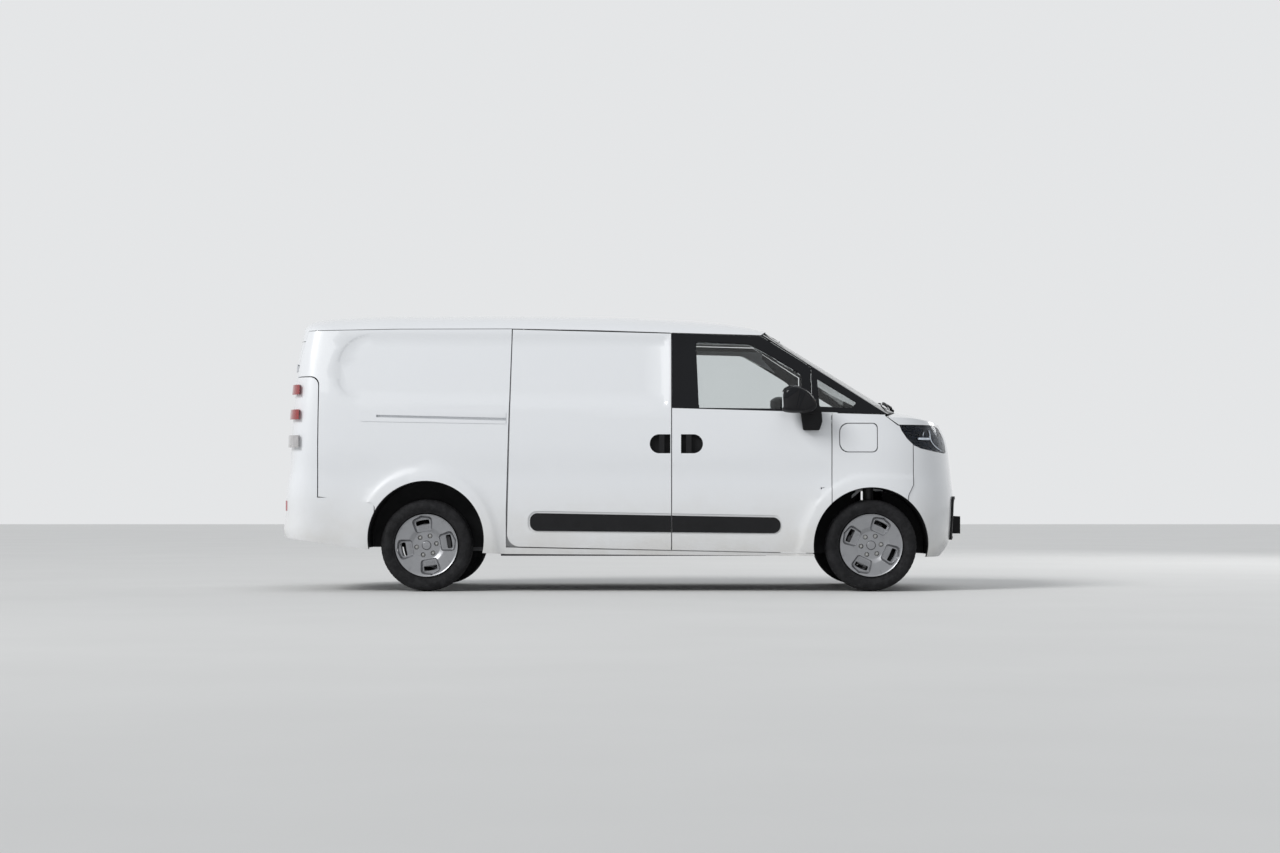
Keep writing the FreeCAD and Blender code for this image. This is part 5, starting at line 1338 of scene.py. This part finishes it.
def groove(obj, lines, reach, depth):
    """Draws seams into a pad: each is a function that gives a point's distance from the seam."""
    built = bmesh.new()
    built.from_mesh(obj.data)
    built.normal_update()
    for vert in built.verts:
        near = min(abs(line(vert.co)) for line in lines)
        if near < reach:
            vert.co -= vert.normal * depth * (0.5 + 0.5 * math.cos(math.pi * near / reach))
    built.to_mesh(obj.data)
    built.free()


def finish_pad(obj, material):
    soft = obj.modifiers.new("Rounder", "SUBSURF")
    soft.levels = soft.render_levels = 1
    for polygon in obj.data.polygons:
        polygon.use_smooth = True
    obj.data.materials.clear()
    obj.data.materials.append(material)


BULKHEAD = FRONT - 1.490
SEAT_Y = 0.4
PAD_VOXEL = 0.0068
CUSHION = [(0.150, 0.712), (0.145, 0.760), (0.160, 0.802), (0.300, 0.818), (0.460, 0.832), (0.570, 0.836),
           (0.608, 0.815), (0.618, 0.770), (0.604, 0.720), (0.500, 0.708), (0.300, 0.706)]
BACK = [(0.172, 0.835), (0.140, 0.920), (0.105, 1.040), (0.075, 1.160), (0.060, 1.225), (0.080, 1.246), (0.125, 1.244),
        (0.150, 1.222), (0.165, 1.140), (0.188, 1.020), (0.214, 0.920), (0.232, 0.850), (0.210, 0.826)]
HEADREST = [(0.052, 1.300), (0.045, 1.350), (0.052, 1.400), (0.080, 1.415), (0.118, 1.408), (0.132, 1.370),
            (0.130, 1.320), (0.115, 1.294), (0.080, 1.288)]


def padded(name, outline, low, high, crown, voxel, seams):
    built = pad_mesh([(BULKHEAD + x, z) for x, z in outline], low, high, crown)
    obj = mesh_piece(name, built, FABRIC, "root", False)
    inflate(obj, voxel, 4.0, 0.012)
    groove(obj, seams, 0.009, 0.005)
    finish_pad(obj, FABRIC)
    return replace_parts(obj, "seats")


for side, way in SIDES.items():
    seat_y = SEAT_Y * way
    edges = [lambda p, y=seat_y: abs(p.y - y) - 0.155]
    panel = edges + [lambda p: (p.x - BULKHEAD) - 0.50]
    padded("seat_cushion_" + side, CUSHION, seat_y - 0.232, seat_y + 0.232, 0.10, PAD_VOXEL, panel)
    back_seams = edges + [lambda p: p.z - 1.150]
    padded("seat_back_" + side, BACK, seat_y - 0.222, seat_y + 0.222, 0.10, PAD_VOXEL, back_seams)
    padded("headrest_" + side, HEADREST, seat_y - 0.125, seat_y + 0.125, 0.12, 0.006,
           [lambda p, y=seat_y: abs(p.y - y) - 0.085])


def headrest_posts():
    built = bmesh.new()
    for seat_y in (-SEAT_Y, SEAT_Y):
        for a in (-0.055, 0.055):
            add_tube(built, [(BULKHEAD + 0.100, seat_y + a, 1.225), (BULKHEAD + 0.094, seat_y + a, 1.265),
                             (BULKHEAD + 0.090, seat_y + a, 1.33)], 0.0055, 12)
            add_lathe(built, [(0.006, 0), (0.013, 0), (0.012, 0.008), (0.006, 0.010)],
                      (BULKHEAD + 0.098, seat_y + a, 1.243), (-0.1, 0, 1), 20)
    return built


single("headrest_posts", headrest_posts, STEEL)


# The stage: a pale floor and background, a level sky of soft light and two large lamps.
SKY = 0.46


def stage():
    bpy.ops.mesh.primitive_plane_add(size=90, location=(0, 0, -0.002))
    floor = bpy.context.object
    floor.name = "floor"
    made = Finish("floor_pale", (0.70, 0.70, 0.69), 0.8)
    made.colour(made.blend(made.noise(0.8, 4), (0.66, 0.66, 0.65), (0.72, 0.72, 0.71)))
    floor.data.materials.append(made.material)
    world = bpy.data.worlds.new("studio")
    bpy.context.scene.world = world
    world.use_nodes = True
    tree = world.node_tree
    seen = tree.nodes["Background"]
    seen.inputs["Color"].default_value = (0.78, 0.79, 0.80, 1)
    seen.inputs["Strength"].default_value = 1.0
    light = tree.nodes.new("ShaderNodeBackground")
    light.inputs["Color"].default_value = (0.93, 0.96, 1.0, 1)
    light.inputs["Strength"].default_value = SKY
    path = tree.nodes.new("ShaderNodeLightPath")
    shown = path.outputs["Is Camera Ray"]
    for ray in ("Is Transmission Ray", "Is Glossy Ray"):
        either = tree.nodes.new("ShaderNodeMath")
        either.operation = "MAXIMUM"
        tree.links.new(shown, either.inputs[0])
        tree.links.new(path.outputs[ray], either.inputs[1])
        shown = either.outputs[0]
    mix = tree.nodes.new("ShaderNodeMixShader")
    tree.links.new(shown, mix.inputs[0])
    tree.links.new(light.outputs[0], mix.inputs[1])
    tree.links.new(seen.outputs[0], mix.inputs[2])
    tree.links.new(mix.outputs[0], tree.nodes["World Output"].inputs["Surface"])


def light(name, kind, power, aim):
    """A light at the origin that looks along a direction."""
    data = bpy.data.lights.new(name, kind)
    data.energy = power
    obj = bpy.data.objects.new(name, data)
    obj.rotation_euler = aim.to_track_quat("-Z", "Y").to_euler()
    bpy.context.scene.collection.objects.link(obj)
    return obj


LAMP_TARGET = Vector((0, 0, 0.9))


def lamp(name, place, size, power):
    made = light(name, "AREA", power, LAMP_TARGET - Vector(place))
    made.location = place
    made.data.shape = "RECTANGLE"
    made.data.size, made.data.size_y = size


def sun(place, strength, softness):
    light("sun", "SUN", strength, -Vector(place)).data.angle = math.radians(softness)


stage()
sun((-6.0, -5.0, 5.5), 1.8, 20)
lamp("key", (-6.5, -9.0, 7.5), (7, 4), 130)
lamp("fill", (8.0, 8.5, 6.0), (6, 4), 220)

# The camera of the photograph: a long lens low beside the van, level, with its frame shifted.
LENS = 74.9
CAMERA_PLACE = (FRONT - 1.472, -19.44, 0.657)
HORIZON_BELOW_MIDDLE = 70.5 / 1280
VANISHING_RIGHT_OF_MIDDLE = 20 / 1280
camera = bpy.data.cameras.new("camera")
camera.lens = LENS
camera.sensor_width = 36
camera.shift_y = HORIZON_BELOW_MIDDLE
camera.shift_x = -VANISHING_RIGHT_OF_MIDDLE
camera.clip_end = 200
viewer = bpy.data.objects.new("camera", camera)
viewer.location = CAMERA_PLACE
viewer.rotation_euler = (math.pi / 2, 0, 0)
bpy.context.scene.collection.objects.link(viewer)
bpy.context.scene.camera = viewer
bpy.context.scene.view_settings.view_transform = "Standard"
